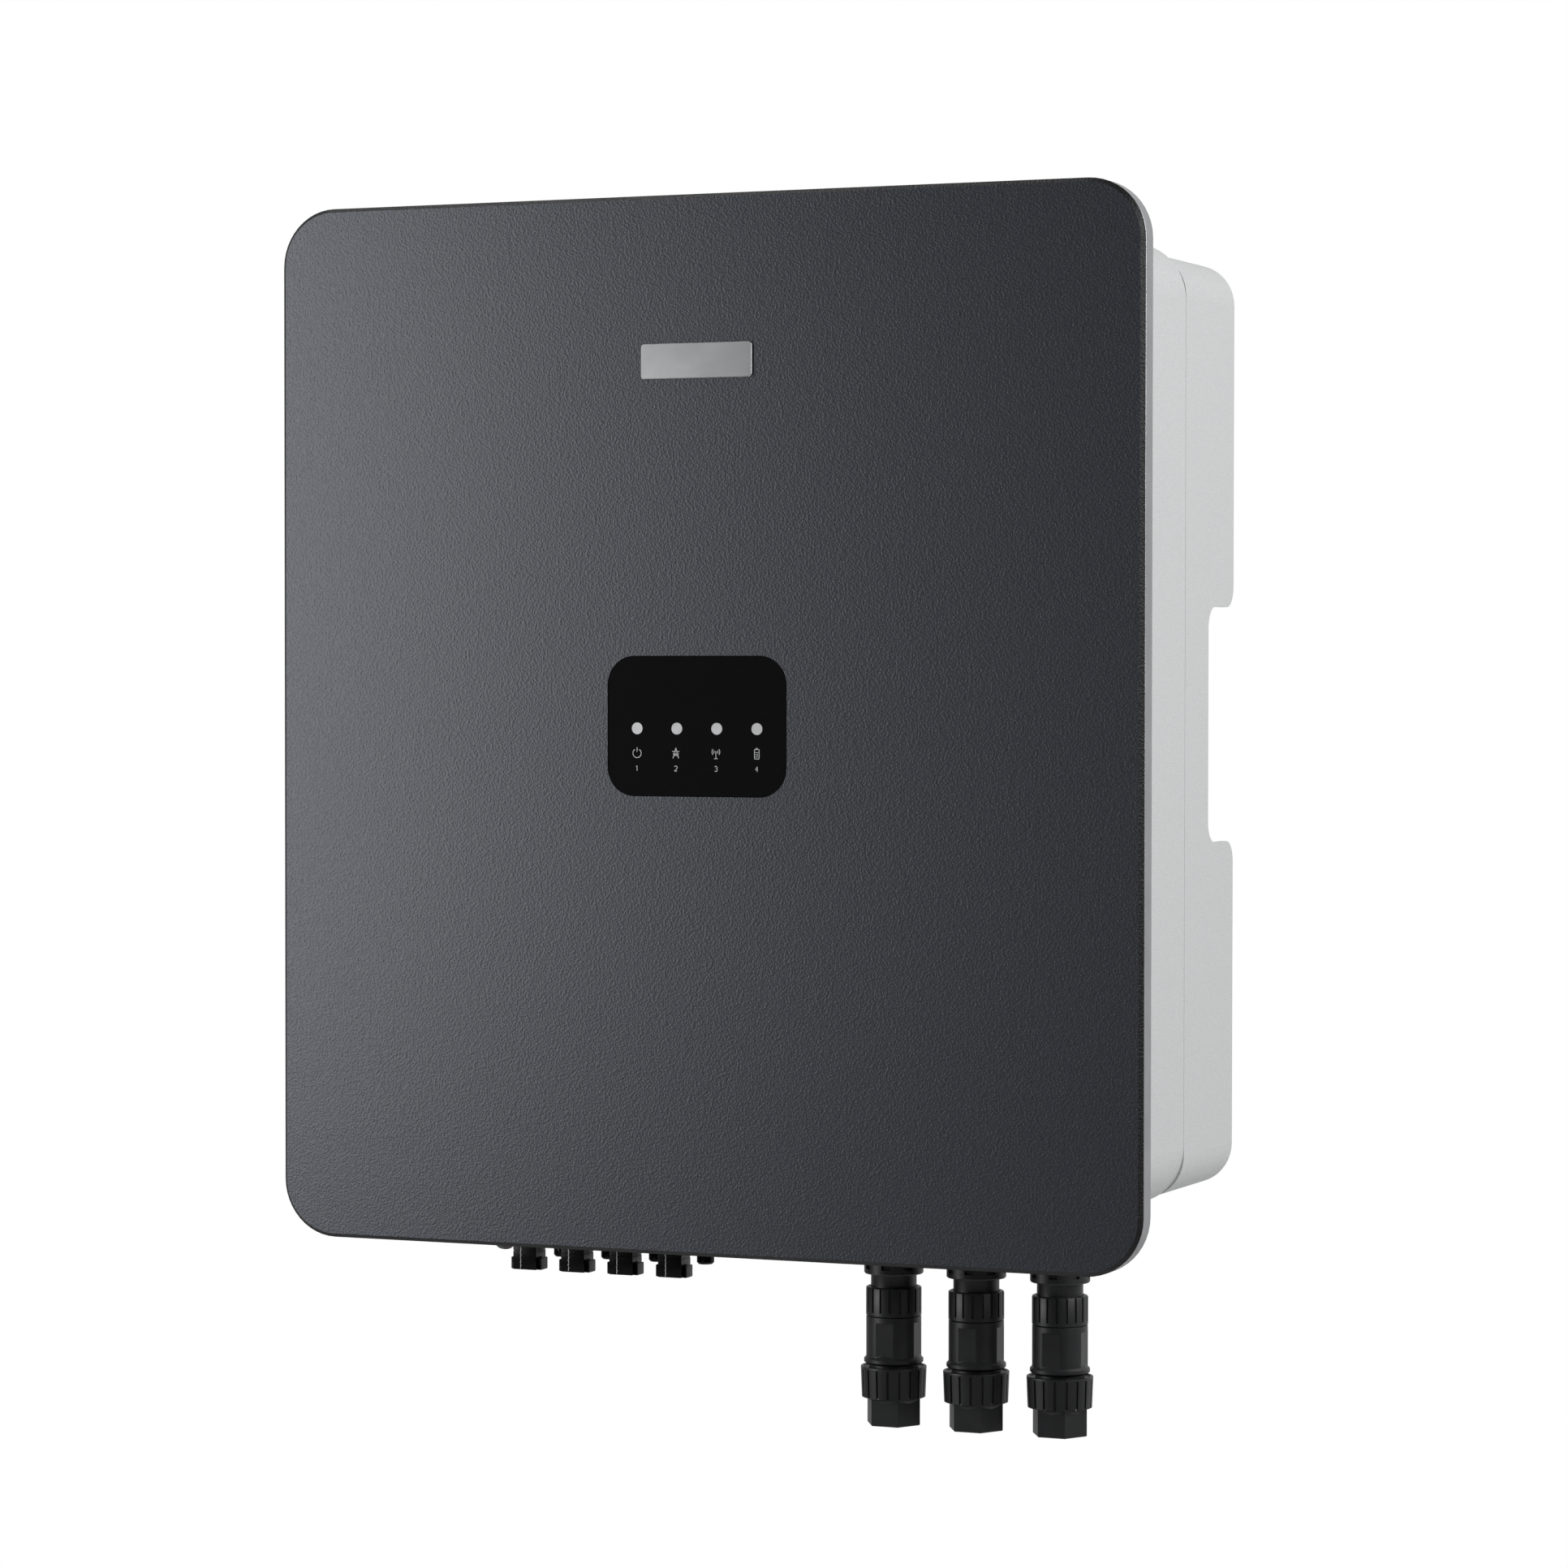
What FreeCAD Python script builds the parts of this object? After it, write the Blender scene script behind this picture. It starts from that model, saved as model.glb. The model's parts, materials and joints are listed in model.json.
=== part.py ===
import FreeCAD, Part

import math
import os
import re

import Sketcher

# Wall-hung string inverter. +Z up, the front faces -Y. The origin is the centre of the wall
# bracket's screw pattern, on the wall. Every length is in millimetres.

SIZES = {
    # whole inverter
    "overall_depth": 195, "panel_width": 480, "panel_height": 542, "panel_corner": 30,
    "panel_side": 12.5, "panel_end": 25, "bracket_drop": 60, "rear_gap": 12.4, "over": 1,
    # front panel, window and badge
    "panel_thick": 2.6, "panel_bevel": 2.06,
    "window_width": 100, "window_height": 72, "window_corner": 15, "window_play": 0.25,
    "lens_thick": 1.9, "lens_recess": 0.4,
    "lamp_radius": 3, "lamp_pitch": 22.3, "lamp_drop": 1.2, "lamp_count": 4, "lamp_play": 0.05,
    "badge_width": 62, "badge_height": 18, "badge_thick": 1, "badge_corner": 1.6,
    "badge_drop": 84.8, "badge_bevel": 0.35,
    "clip_radius": 3, "clip_head": 4.2, "clip_length": 5, "clip_inset_x": 60, "clip_inset_z": 80,
    # lid and its seal
    "lid_depth": 10.7, "lid_land": 5.5, "lid_web": 3, "lid_rim": 3, "lid_edge": 0.5,
    "gasket_thick": 2, "gasket_inset": 1,
    "display_width": 92, "display_height": 40, "board_thick": 1.6,
    "screw_radius": 2.5, "screw_head": 4.5, "screw_head_length": 2.8, "screw_play": 0.3,
    "screw_seat": 3, "screw_length": 14, "screw_inset": 8,
    "screw_rows": 4, "screw_row_end": 57, "screw_columns": 3, "screw_column_end": 77.5,
    # cast housing
    "housing_rise": 1, "housing_depth": 92.1,
    "housing_corner": 29, "housing_wall": 4, "back_wall": 5, "flange_width": 16,
    "flange_thick": 9, "register_length": 9, "register_wall": 3,
    # shroud round the heat sink
    "shroud_end": 4, "shroud_corner": 22, "shroud_wall": 3, "seam_gap": 0.3,
    "notch_height": 122.5, "notch_depth": 41.8, "notch_corner": 11, "notch_rise": 0.6,
    "vent_count": 12, "vent_side": 62.5, "vent_width": 18, "vent_length": 46, "vent_front": 18,
    "shroud_screw_pitch": 160, "shroud_screw_radius": 2, "shroud_screw_head": 3.8,
    "shroud_screw_head_length": 2.2, "shroud_screw_length": 6,
    # heat sink
    "sink_side": 42.5, "sink_end": 42, "sink_base": 8, "fin_count": 27, "fin_side": 3,
    "fin_thick": 2.5, "sink_rib": 12, "sink_rear_gap": 3, "hook_fins": 7,
    "sink_screw_radius": 2.5, "sink_screw_head": 4.3, "sink_screw_head_length": 4,
    "sink_screw_length": 10, "sink_screw_side": 10, "sink_screw_end": 15, "sink_screw_room": 1.5,
    # hooks and wall bracket
    "hook_width": 46, "hook_sheet": 3, "hook_drop": 40, "hook_play": 0.7, "tongue_length": 16,
    "hook_screw_radius": 3, "hook_screw_head": 5.2, "hook_screw_head_length": 1.7,
    "hook_screw_length": 14, "hook_screw_pitch": 22, "hook_screw_play": 0.3, "hook_screw_rise": 8,
    "bracket_width": 300, "bracket_sheet": 3, "bracket_below": 32, "bracket_above": 46,
    "bracket_shelf": 28, "bracket_lip": 18, "bolt_pitch_x": 240, "bolt_pitch_z": 32,
    "bolt_hole": 4.5, "spacer_radius": 9, "spacer_rise": 20,
    # small things on the underside, measured back from the front and in from the sides
    "port_inset": 60, "dc_front_inset": 41, "dc_rear_inset": 81, "com_inset": 45,
    "logger_inset": 83, "small_edge": 1,
    "vent_port_side": 42.5, "vent_radius": 8, "vent_cap_length": 7, "vent_stem": 5,
    "vent_stem_end": 3,
    "com_x": 21.6, "com_width": 44, "com_depth": 26, "com_length": 16, "com_corner": 5,
    "logger_x": 21.6, "logger_radius": 9, "logger_length": 15, "logger_cap_radius": 11.5,
    "logger_cap_length": 17, "logger_cap_top": 2, "logger_play": 0.3, "logger_bore": 7,
    "logger_wall": 2, "logger_thread_end": 5, "logger_groove_depth": 0.6,
    "logger_groove_width": 1.4, "logger_plain": 2,
    "earth_rise": 40, "earth_inset": 65, "earth_radius": 3, "earth_head": 5.5,
    "earth_head_length": 3.6, "earth_washer": 7, "earth_washer_thick": 1.2, "earth_length": 8,
    "earth_boss": 8,
    # direct-current switch
    "switch_side": 89.5, "switch_body": 44, "switch_shift": 11, "switch_body_height": 52,
    "switch_collar": 9,
    "switch_collar_length": 4, "switch_shaft": 3, "switch_shaft_play": 0.05, "knob_radius": 17,
    "knob_top": 5, "knob_length": 12, "grip_width": 5.5, "grip_reach": 18.5, "grip_arch": 16,
    "switch_shaft_depth": 20, "switch_shaft_end": 1, "knob_foot_side": 3, "knob_foot_rise": 4,
    # direct-current connectors
    "dc_side": 112.5, "dc_pitch": 28, "dc_count": 4, "dc_thread": 6.2, "dc_thread_length": 14,
    "dc_hole_play": 0.2, "dc_flange": 8.5, "dc_flange_length": 3, "dc_plus_length": 42.5,
    "dc_neck_width": 13.6, "dc_neck_depth": 12, "dc_wing_span": 17.6, "dc_wing_depth": 8,
    "dc_wing_length": 8.5, "dc_wing_slot": 0.7, "dc_wing_slot_length": 5.5,
    "dc_plus_bore": 4.9, "dc_plus_bore_length": 22, "dc_minus_barrel": 7,
    "dc_minus_barrel_length": 24, "dc_minus_length": 40.4, "dc_minus_nose": 4.6,
    "dc_minus_bore": 2, "dc_nose_chamfer": 1, "dc_minus_bore_length": 14,
    "dc_nut": 10, "dc_nut_length": 4, "dc_seam_width": 0.5,
    "dc_seam_depth": 0.35,
    # alternating-current connectors: radii, then lengths counted down from the housing
    "ac_side": 51.7, "ac_pitch": 45.5, "ac_count": 3, "ac_flange": 19, "ac_flange_length": 4,
    "ac_seal_thick": 1.5, "ac_thread": 13, "ac_thread_length": 12, "ac_hole_play": 0.2,
    "ac_nut": 17, "ac_nut_length": 5, "ac_bore": 8.5, "ac_barrel": 13, "ac_barrel_length": 30.5,
    "ac_lug_ring": 15.3, "ac_lug_length": 7.2, "ac_lug_count": 8, "ac_lug_gap": 4,
    "ac_lug_depth": 1.2, "ac_lug_notch": 3.6, "ac_neck": 11.8, "ac_neck_shown": 6.7, "ac_neck_hidden": 14,
    "ac_ring": 14.3, "ac_ring_length": 17.1, "ac_ring_band": 2, "ac_ring_play": 0.3,
    "ac_ring_edge": 0.8, "ac_groove_count": 18, "ac_groove_width": 1.6, "ac_groove_depth": 0.7,
    "ac_plug": 14.2, "ac_plug_length": 18.1, "ac_flat": 13.2, "ac_flat_top": 1.5,
    "ac_flat_length": 16.2, "ac_collar": 15.3, "ac_collar_length": 4.1, "ac_collar_slope": 1.2,
    "ac_spigot": 12.6, "ac_spigot_length": 13.3, "ac_plug_bore": 10.4, "ac_nut_gap": 1,
    "ac_drum": 17, "ac_drum_foot": 16.4, "ac_drum_length": 18.1, "ac_drum_bevel": 2.2,
    "ac_rib_count": 18, "ac_rib_width": 2, "ac_rib_depth": 0.8, "ac_hex": 14.6,
    "ac_hex_length": 12.2, "ac_cable": 9.5, "ac_seal_bore": 7.5, "ac_seal_length": 4.6,
    "ac_insert_reach": 70, "ac_insert_play": 0.05, "ac_drum_mouth": 1, "ac_seal_inset": 1,
    "ac_plug_step": 2,
    # electronics
    "power_side": 37.5, "power_above": 32, "power_below": 170, "power_gap": 16,
    "standoff_radius": 4, "standoff_inset": 12,
    "module_width": 62, "module_height": 108, "module_thick": 12, "module_pitch": 118,
    "module_count": 3, "module_rise": 135,
    "capacitor_radius": 17.5, "capacitor_length": 42, "capacitor_pitch": 40,
    "capacitor_columns": 4, "capacitor_rows": 2, "capacitor_side": 40, "capacitor_drop": 80,
    "boost_width": 82, "boost_height": 64, "boost_depth": 62, "boost_pitch": 92,
    "boost_count": 2, "boost_side": 62.5, "boost_rise": 127,
    "choke_radius": 30, "choke_bore": 12, "choke_depth": 34, "choke_pitch": 68,
    "choke_count": 3, "choke_side": 49.5, "choke_rise": 120, "choke_seat": 4,
    "relay_width": 30, "relay_height": 26, "relay_depth": 36, "relay_pitch": 36,
    "relay_columns": 3, "relay_rows": 2, "relay_side": 140, "relay_drop": 50,
    "sensor_width": 24, "sensor_depth": 20, "sensor_bore": 6, "sensor_pitch": 36,
    "sensor_count": 3, "sensor_side": 137, "sensor_rise": 9,
    "control_width": 170, "control_height": 100, "control_rise": 54, "control_gap": 44,
    "control_x": -30,
}

# Sizes that follow from others: the margins above stay as they are when the inverter grows.
FOLLOWING = {
    "screw_row_pitch": "(housing_height - 2 * screw_row_end) / (screw_rows - 1)",
    "screw_column_pitch": "(housing_width - 2 * screw_column_end) / (screw_columns - 1)",
    "vent_pitch": "(housing_width - 2 * vent_side) / (vent_count - 1)",
    "fin_pitch": "(sink_width - 2 * fin_side) / (fin_count - 1)",
    "bracket_rise": "sink_height / 2 - bracket_drop",
    "sink_width": "housing_width - 2 * sink_side",
    "sink_height": "shroud_height - 2 * sink_end",
    "shroud_height": "housing_height - 2 * shroud_end",
    "power_width": "housing_width - 2 * power_side",
    "power_height": "housing_height - power_above - power_below",
    "housing_width": "panel_width - 2 * panel_side",
    "housing_height": "panel_height - 2 * panel_end",
    "port_row": "overall_depth - port_inset",
    "dc_front_row": "overall_depth - dc_front_inset",
    "dc_rear_row": "overall_depth - dc_rear_inset",
    "com_row": "overall_depth - com_inset",
    "logger_row": "overall_depth - logger_inset",
    "earth_row": "overall_depth - earth_inset",
}

WORD = re.compile(r"[a-z][a-z_0-9]*")
V = FreeCAD.Vector
ALONG = {
    "x": FreeCAD.Rotation(V(0, 1, 0), 90),
    "y": FreeCAD.Rotation(V(1, 0, 0), -90),
    "z": FreeCAD.Rotation(),
}
NODES = []

doc = FreeCAD.newDocument("string_inverter")
sheet = doc.addObject("Spreadsheet::Sheet", "Sizes")
for row, (name, size) in enumerate(SIZES.items(), start=1):
    sheet.set(f"A{row}", name)
    sheet.set(f"B{row}", str(size))
    sheet.setAlias(f"B{row}", name)
doc.recompute()

# Levels from the wall to the front, as formulas of the sheet's values.
FRONT = "-overall_depth"
LID_FRONT = f"{FRONT} + panel_thick"
LAND_BACK = f"{LID_FRONT} + lid_land"
HOUSING_FRONT = f"{LAND_BACK} + gasket_thick"
JOINT = f"{HOUSING_FRONT} + housing_depth"
INNER_BACK = f"{JOINT} - back_wall"
POWER_FACE = f"{INNER_BACK} - power_gap"
SINK_BACK = "-rear_gap - sink_rear_gap"

# Heights.
PANEL_MID = "-bracket_rise"
HOUSING_MID = f"{PANEL_MID} + housing_rise"
UNDERSIDE = f"{HOUSING_MID} - housing_height / 2"
POWER_FOOT = f"{UNDERSIDE} + power_below"
POWER_TOP = f"{POWER_FOOT} + power_height"
SHELF_TOP = "bracket_shelf + bracket_sheet"

# Places across the underside.
SWITCH_X = "-housing_width / 2 + switch_side"
VENT_X = "-housing_width / 2 + vent_port_side"


def formula(text):
    """Write out the following sizes, then name the sheet in front of each value in a formula."""
    for name, rule in FOLLOWING.items():
        text = re.sub(rf"\b{name}\b", f"({rule})", str(text))
    return WORD.sub(lambda word: ("Sizes." if word.group() in SIZES else "") + word.group(), str(text))


def bind(thing, **formulas):
    """Tie properties of a thing to formulas; x, y and z are its place."""
    for name, text in formulas.items():
        target = f"Placement.Base.{name}" if name in "xyz" else name
        thing.setExpression(target, formula(text))


def box(name, size, corner):
    """A block from its lowest corner."""
    block = doc.addObject("Part::Box", name)
    bind(block, Length=size[0], Width=size[1], Height=size[2])
    bind(block, x=corner[0], y=corner[1], z=corner[2])
    return block


def rod(name, radius, length, foot, along="z"):
    """A cylinder that runs from its foot along one axis."""
    cylinder = doc.addObject("Part::Cylinder", name)
    cylinder.Placement.Rotation = ALONG[along]
    bind(cylinder, Radius=radius, Height=length, x=foot[0], y=foot[1], z=foot[2])
    return cylinder


def hexagon(name, radius, length, foot, along="z"):
    """A six-sided bar, sized across its corners, from its foot along one axis."""
    prism = doc.addObject("Part::Prism", name)
    prism.Polygon = 6
    prism.Placement.Rotation = ALONG[along]
    bind(prism, Circumradius=radius, Height=length, x=foot[0], y=foot[1], z=foot[2])
    return prism


def fuse(name, *pieces):
    """Several overlapping or touching pieces as one solid."""
    whole = doc.addObject("Part::MultiFuse", name)
    whole.Shapes = list(pieces)
    whole.Refine = True
    return whole


def group(name, pieces):
    """Several separate solids kept together."""
    whole = doc.addObject("Part::Compound", name)
    whole.Links = list(pieces)
    return whole


def cut(name, base, *tools):
    """A piece with one or more tools taken out of it."""
    result = doc.addObject("Part::Cut", name)
    result.Base = base
    result.Tool = tools[0] if len(tools) == 1 else fuse(f"{name}_tools", *tools)
    result.Refine = True
    return result


def common(name, first, second):
    """What two pieces share."""
    result = doc.addObject("Part::Common", name)
    result.Base = first
    result.Tool = second
    return result


def node(name, thing):
    """Make a thing one of the inverter's own pieces, which gets a file of its name."""
    thing.Label = name
    NODES.append(thing)
    return thing


def drawn(body, role, name, corners):
    """A closed outline on one of a body's own planes, each corner at a pair of formulas."""
    sketch = body.newObject("Sketcher::SketchObject", name)
    plane = next(part for part in body.Origin.OriginFeatures if part.Role == role)
    sketch.AttachmentSupport = [(plane, "")]
    sketch.MapMode = "FlatFace"
    turn = 2 * math.pi / len(corners)
    start = [V(math.cos(turn * k), math.sin(turn * k), 0) * 10 for k in range(len(corners))]
    for k, point in enumerate(start):
        sketch.addGeometry(Part.LineSegment(point, start[(k + 1) % len(start)]), False)
    for k in range(len(corners)):
        sketch.addConstraint(Sketcher.Constraint("Coincident", k, 2, (k + 1) % len(corners), 1))
    for k, corner in enumerate(corners):
        for kind, text, rough in (("X", corner[0], start[k].x), ("Y", corner[1], start[k].y)):
            index = sketch.addConstraint(Sketcher.Constraint("Distance" + kind, -1, 1, k, 1, rough))
            sketch.renameConstraint(index, f"corner{k}{kind}")
            bind(sketch, **{f"Constraints.corner{k}{kind}": text})
    return sketch


def edges_where(shape, test):
    """Names of the edges whose two end points pass a test."""
    ends = [(f"Edge{k}", edge.Vertexes[0].Point, edge.Vertexes[-1].Point)
            for k, edge in enumerate(shape.Edges, start=1)]
    return [name for name, first, last in ends if test(first, last)]


def slab(name, width, height, depth, middle, front, corner=None, bevel=None):
    """An upright slab that faces the front, with rounded corners and a bevelled front edge."""
    body = doc.addObject("PartDesign::Body", name)
    left, right = f"-({width}) / 2", f"({width}) / 2"
    low, high = f"-({height}) / 2", f"({height}) / 2"
    outline = drawn(body, "XZ_Plane", f"{name}_outline",
                    [(left, low), (right, low), (right, high), (left, high)])
    pad = body.newObject("PartDesign::Pad", f"{name}_pad")
    pad.Profile = outline
    pad.Reversed = True
    bind(pad, Length=depth)
    bind(body, x=middle[0], y=front, z=middle[1])
    last = pad
    if corner:
        doc.recompute()
        rounded = body.newObject("PartDesign::Fillet", f"{name}_corners")
        rounded.Base = (pad, edges_where(pad.Shape, lambda a, b: abs(a.y - b.y) > 1e-6))
        bind(rounded, Radius=corner)
        last = rounded
    if bevel:
        doc.recompute()
        chamfer = body.newObject("PartDesign::Chamfer", f"{name}_bevel")
        chamfer.Base = (last, edges_where(last.Shape, lambda a, b: max(abs(a.y), abs(b.y)) < 1e-6))
        bind(chamfer, Size=bevel)
    return body


def turned(name, profile, spot):
    """A round piece: pairs of radius and height turned about an upright axis."""
    body = doc.addObject("PartDesign::Body", name)
    outline = drawn(body, "XZ_Plane", f"{name}_profile", profile)
    turn = body.newObject("PartDesign::Revolution", f"{name}_turn")
    turn.Profile = outline
    turn.ReferenceAxis = (outline, ["V_Axis"])
    turn.Angle = 360
    bind(body, x=spot[0], y=spot[1], z=spot[2])
    return body


def grooved(body, radius, depth, width, count, top, length):
    """Even upright grooves round a turned piece, from a height downwards."""
    name = body.Name
    inner, outer = f"{radius} - {depth}", f"{radius} + {depth}"
    side = f"({width}) / 2"
    outline = drawn(body, "XY_Plane", f"{name}_groove_outline",
                    [(inner, f"-{side}"), (outer, f"-{side}"), (outer, side), (inner, side)])
    bind(outline, **{"AttachmentOffset.Base.z": top})
    pocket = body.newObject("PartDesign::Pocket", f"{name}_groove")
    pocket.Profile = outline
    bind(pocket, Length=length)
    doc.recompute()
    pattern = body.newObject("PartDesign::PolarPattern", f"{name}_grooves")
    pattern.Originals = [pocket]
    pattern.Axis = (outline, ["N_Axis"])
    pattern.Angle = 360
    bind(pattern, Occurrences=count)
    body.Tip = pattern
    return body


def screw(name, radius, length, head, head_length, seat, along, inward):
    """A socket screw: its head stands off the seat, its shank goes inward from it."""
    axis = "xyz".index(along)
    shank_foot, head_foot = list(seat), list(seat)
    if inward > 0:
        head_foot[axis] = f"{seat[axis]} - {head_length}"
    else:
        shank_foot[axis] = f"{seat[axis]} - {length}"
    shank = rod(f"{name}_shank", radius, length, shank_foot, along)
    top = rod(f"{name}_head", head, head_length, head_foot, along)
    socket_foot = list(head_foot)
    if inward < 0:
        socket_foot[axis] = f"{head_foot[axis]} + {head_length} / 2"
    socket = hexagon(f"{name}_socket", f"{head} / 2", f"{head_length} / 2", socket_foot, along)
    return cut(name, fuse(f"{name}_blank", shank, top), socket)


def row(middle, pitch, count):
    """Formulas of evenly spaced places about a middle."""
    return [f"{middle} + ({k} - (({count}) - 1) / 2) * {pitch}" for k in range(int(SIZES[count]))]


def cover_screw_spots():
    """Where the cover screws go: along the housing flange's four sides."""
    side = "housing_width / 2 - screw_inset"
    top = "housing_height / 2 - screw_inset"
    heights = row(HOUSING_MID, "screw_row_pitch", "screw_rows")
    columns = row("0", "screw_column_pitch", "screw_columns")
    spots = [(f"{sign}({side})", z) for sign in ("-", "") for z in heights]
    spots += [(x, f"{HOUSING_MID} {sign} ({top})") for sign in "-+" for x in columns]
    return spots


def holes(name, radius, length, spots, foot_y):
    """Round holes from front to back at a list of places."""
    return group(name, [rod(f"{name}_{k}", radius, length, (x, foot_y, z), "y")
                        for k, (x, z) in enumerate(spots)])


def front_cover():
    """The textured panel with its window and badge, and the sealed lid that carries it."""
    middle = ("0", PANEL_MID)
    panel = slab("panel_blank", "panel_width", "panel_height", "panel_thick", middle, FRONT,
                 "panel_corner", "panel_bevel")
    window = slab("panel_window", "window_width", "window_height", "panel_thick + 2 * over",
                  middle, f"{FRONT} - over", "window_corner")
    clip_x = ["-(panel_width / 2 - clip_inset_x)", "0", "panel_width / 2 - clip_inset_x"]
    clip_z = [f"{PANEL_MID} {sign} (panel_height / 2 - clip_inset_z)" for sign in "-+"]
    clip_spots = [(x, z) for x in clip_x for z in clip_z]
    node("front_panel", cut("front_panel", panel, window))

    clips = []
    for k, (x, z) in enumerate(clip_spots):
        stem = rod(f"clip_{k}_stem", "clip_radius", "lid_web", (x, LID_FRONT, z), "y")
        head = rod(f"clip_{k}_head", "clip_head", "clip_length - lid_web",
                   (x, f"{LID_FRONT} + lid_web", z), "y")
        clips.append(fuse(f"clip_{k}", stem, head))
    node("panel_clips", group("panel_clips", clips))

    blank = slab("lid_blank", "panel_width", "panel_height", "lid_depth", middle, LID_FRONT,
                 "panel_corner", "lid_edge")
    rim_space = slab("lid_rim_space", "panel_width - 2 * lid_rim", "panel_height - 2 * lid_rim",
                     "lid_depth", middle, LAND_BACK, "panel_corner - lid_rim")
    mouth = ("housing_width - 2 * flange_width", "housing_height - 2 * flange_width")
    web_space = slab("lid_web_space", *mouth, "lid_depth", ("0", HOUSING_MID),
                     f"{LID_FRONT} + lid_web", "housing_corner - flange_width")
    display_hole = slab("lid_display_hole", "window_width", "window_height", "lid_web + 2 * over",
                        middle, f"{LID_FRONT} - over", "window_corner")
    spots = cover_screw_spots()
    seats = holes("lid_seats", "screw_head + screw_play", "screw_seat + over", spots,
                  f"{LID_FRONT} - over")
    bores = holes("lid_bores", "screw_radius + screw_play", "lid_depth", spots, LID_FRONT)
    clip_holes = holes("lid_clip_holes", "clip_radius", "lid_depth", clip_spots, LID_FRONT)
    node("cover_lid", cut("cover_lid", blank, rim_space, web_space, display_hole, seats, bores,
                          clip_holes))

    gasket = slab("gasket_blank", "housing_width - 2 * gasket_inset",
                  "housing_height - 2 * gasket_inset", "gasket_thick", ("0", HOUSING_MID),
                  LAND_BACK, "housing_corner - gasket_inset")
    opening = slab("gasket_opening", *mouth, "gasket_thick + 2 * over", ("0", HOUSING_MID),
                   f"{LAND_BACK} - over", "housing_corner - flange_width")
    passages = holes("gasket_holes", "screw_radius + screw_play", "gasket_thick + 2 * over", spots,
                     f"{LAND_BACK} - over")
    node("cover_gasket", cut("cover_gasket", gasket, opening, passages))
    node("cover_screws", group("cover_screws", [
        screw(f"cover_screw_{k}", "screw_radius", "screw_length", "screw_head",
              "screw_head_length", (x, f"{LID_FRONT} + screw_seat", z), "y", 1)
        for k, (x, z) in enumerate(spots)]))

    lens_front = f"{FRONT} + lens_recess"
    lamp_z = f"{PANEL_MID} - lamp_drop"
    lamps = [(x, lamp_z) for x in row("0", "lamp_pitch", "lamp_count")]
    lens = slab("lens_blank", "window_width - 2 * window_play", "window_height - 2 * window_play",
                "lens_thick", middle, lens_front, "window_corner - window_play")
    lens_holes = holes("lens_holes", "lamp_radius + lamp_play", "lens_thick + 2 * over", lamps,
                       f"{lens_front} - over")
    node("display_lens", cut("display_lens", lens, lens_holes))
    display_face = f"{LID_FRONT} + lid_web"
    node("led_light_pipes", group("led_light_pipes", [
        rod(f"light_pipe_{k}", "lamp_radius", f"{display_face} - ({lens_front})",
            (x, lens_front, z), "y") for k, (x, z) in enumerate(lamps)]))
    node("display_board", box("display_board", ("display_width", "board_thick", "display_height"),
                              ("-display_width / 2", display_face,
                               f"{PANEL_MID} - display_height / 2")))
    node("badge_plate", slab("badge", "badge_width", "badge_height", "badge_thick",
                             ("0", f"{PANEL_MID} + panel_height / 2 - badge_drop"), f"{FRONT} - badge_thick",
                             "badge_corner", "badge_bevel"))


def port_holes():
    """Holes in the housing's underside for everything that passes through it."""
    foot = f"{UNDERSIDE} - over"
    length = "housing_wall + 2 * over"
    ports = [rod(f"ac_hole_{k}", "ac_thread + ac_hole_play", length, (x, "-port_row", foot))
             for k, x in enumerate(ac_places())]
    for side, depth in (("plus", "-dc_front_row"), ("minus", "-dc_rear_row")):
        ports += [rod(f"dc_{side}_hole_{k}", "dc_thread + dc_hole_play", length, (x, depth, foot))
                  for k, x in enumerate(dc_places())]
    ports.append(rod("switch_hole", "switch_collar", length, (SWITCH_X, "-port_row", foot)))
    ports.append(rod("vent_hole", "vent_stem", length, (VENT_X, "-port_row", foot)))
    ports.append(rod("logger_hole", "logger_bore", length, ("logger_x", "-logger_row", foot)))
    return ports


def ac_places():
    """Places across the underside of the alternating-current connectors."""
    return [f"housing_width / 2 - ac_side - {k} * ac_pitch"
            for k in reversed(range(SIZES["ac_count"]))]


def dc_places():
    """Places across the underside of the direct-current connectors."""
    return [f"-housing_width / 2 + dc_side + {k} * dc_pitch" for k in range(SIZES["dc_count"])]


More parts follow.
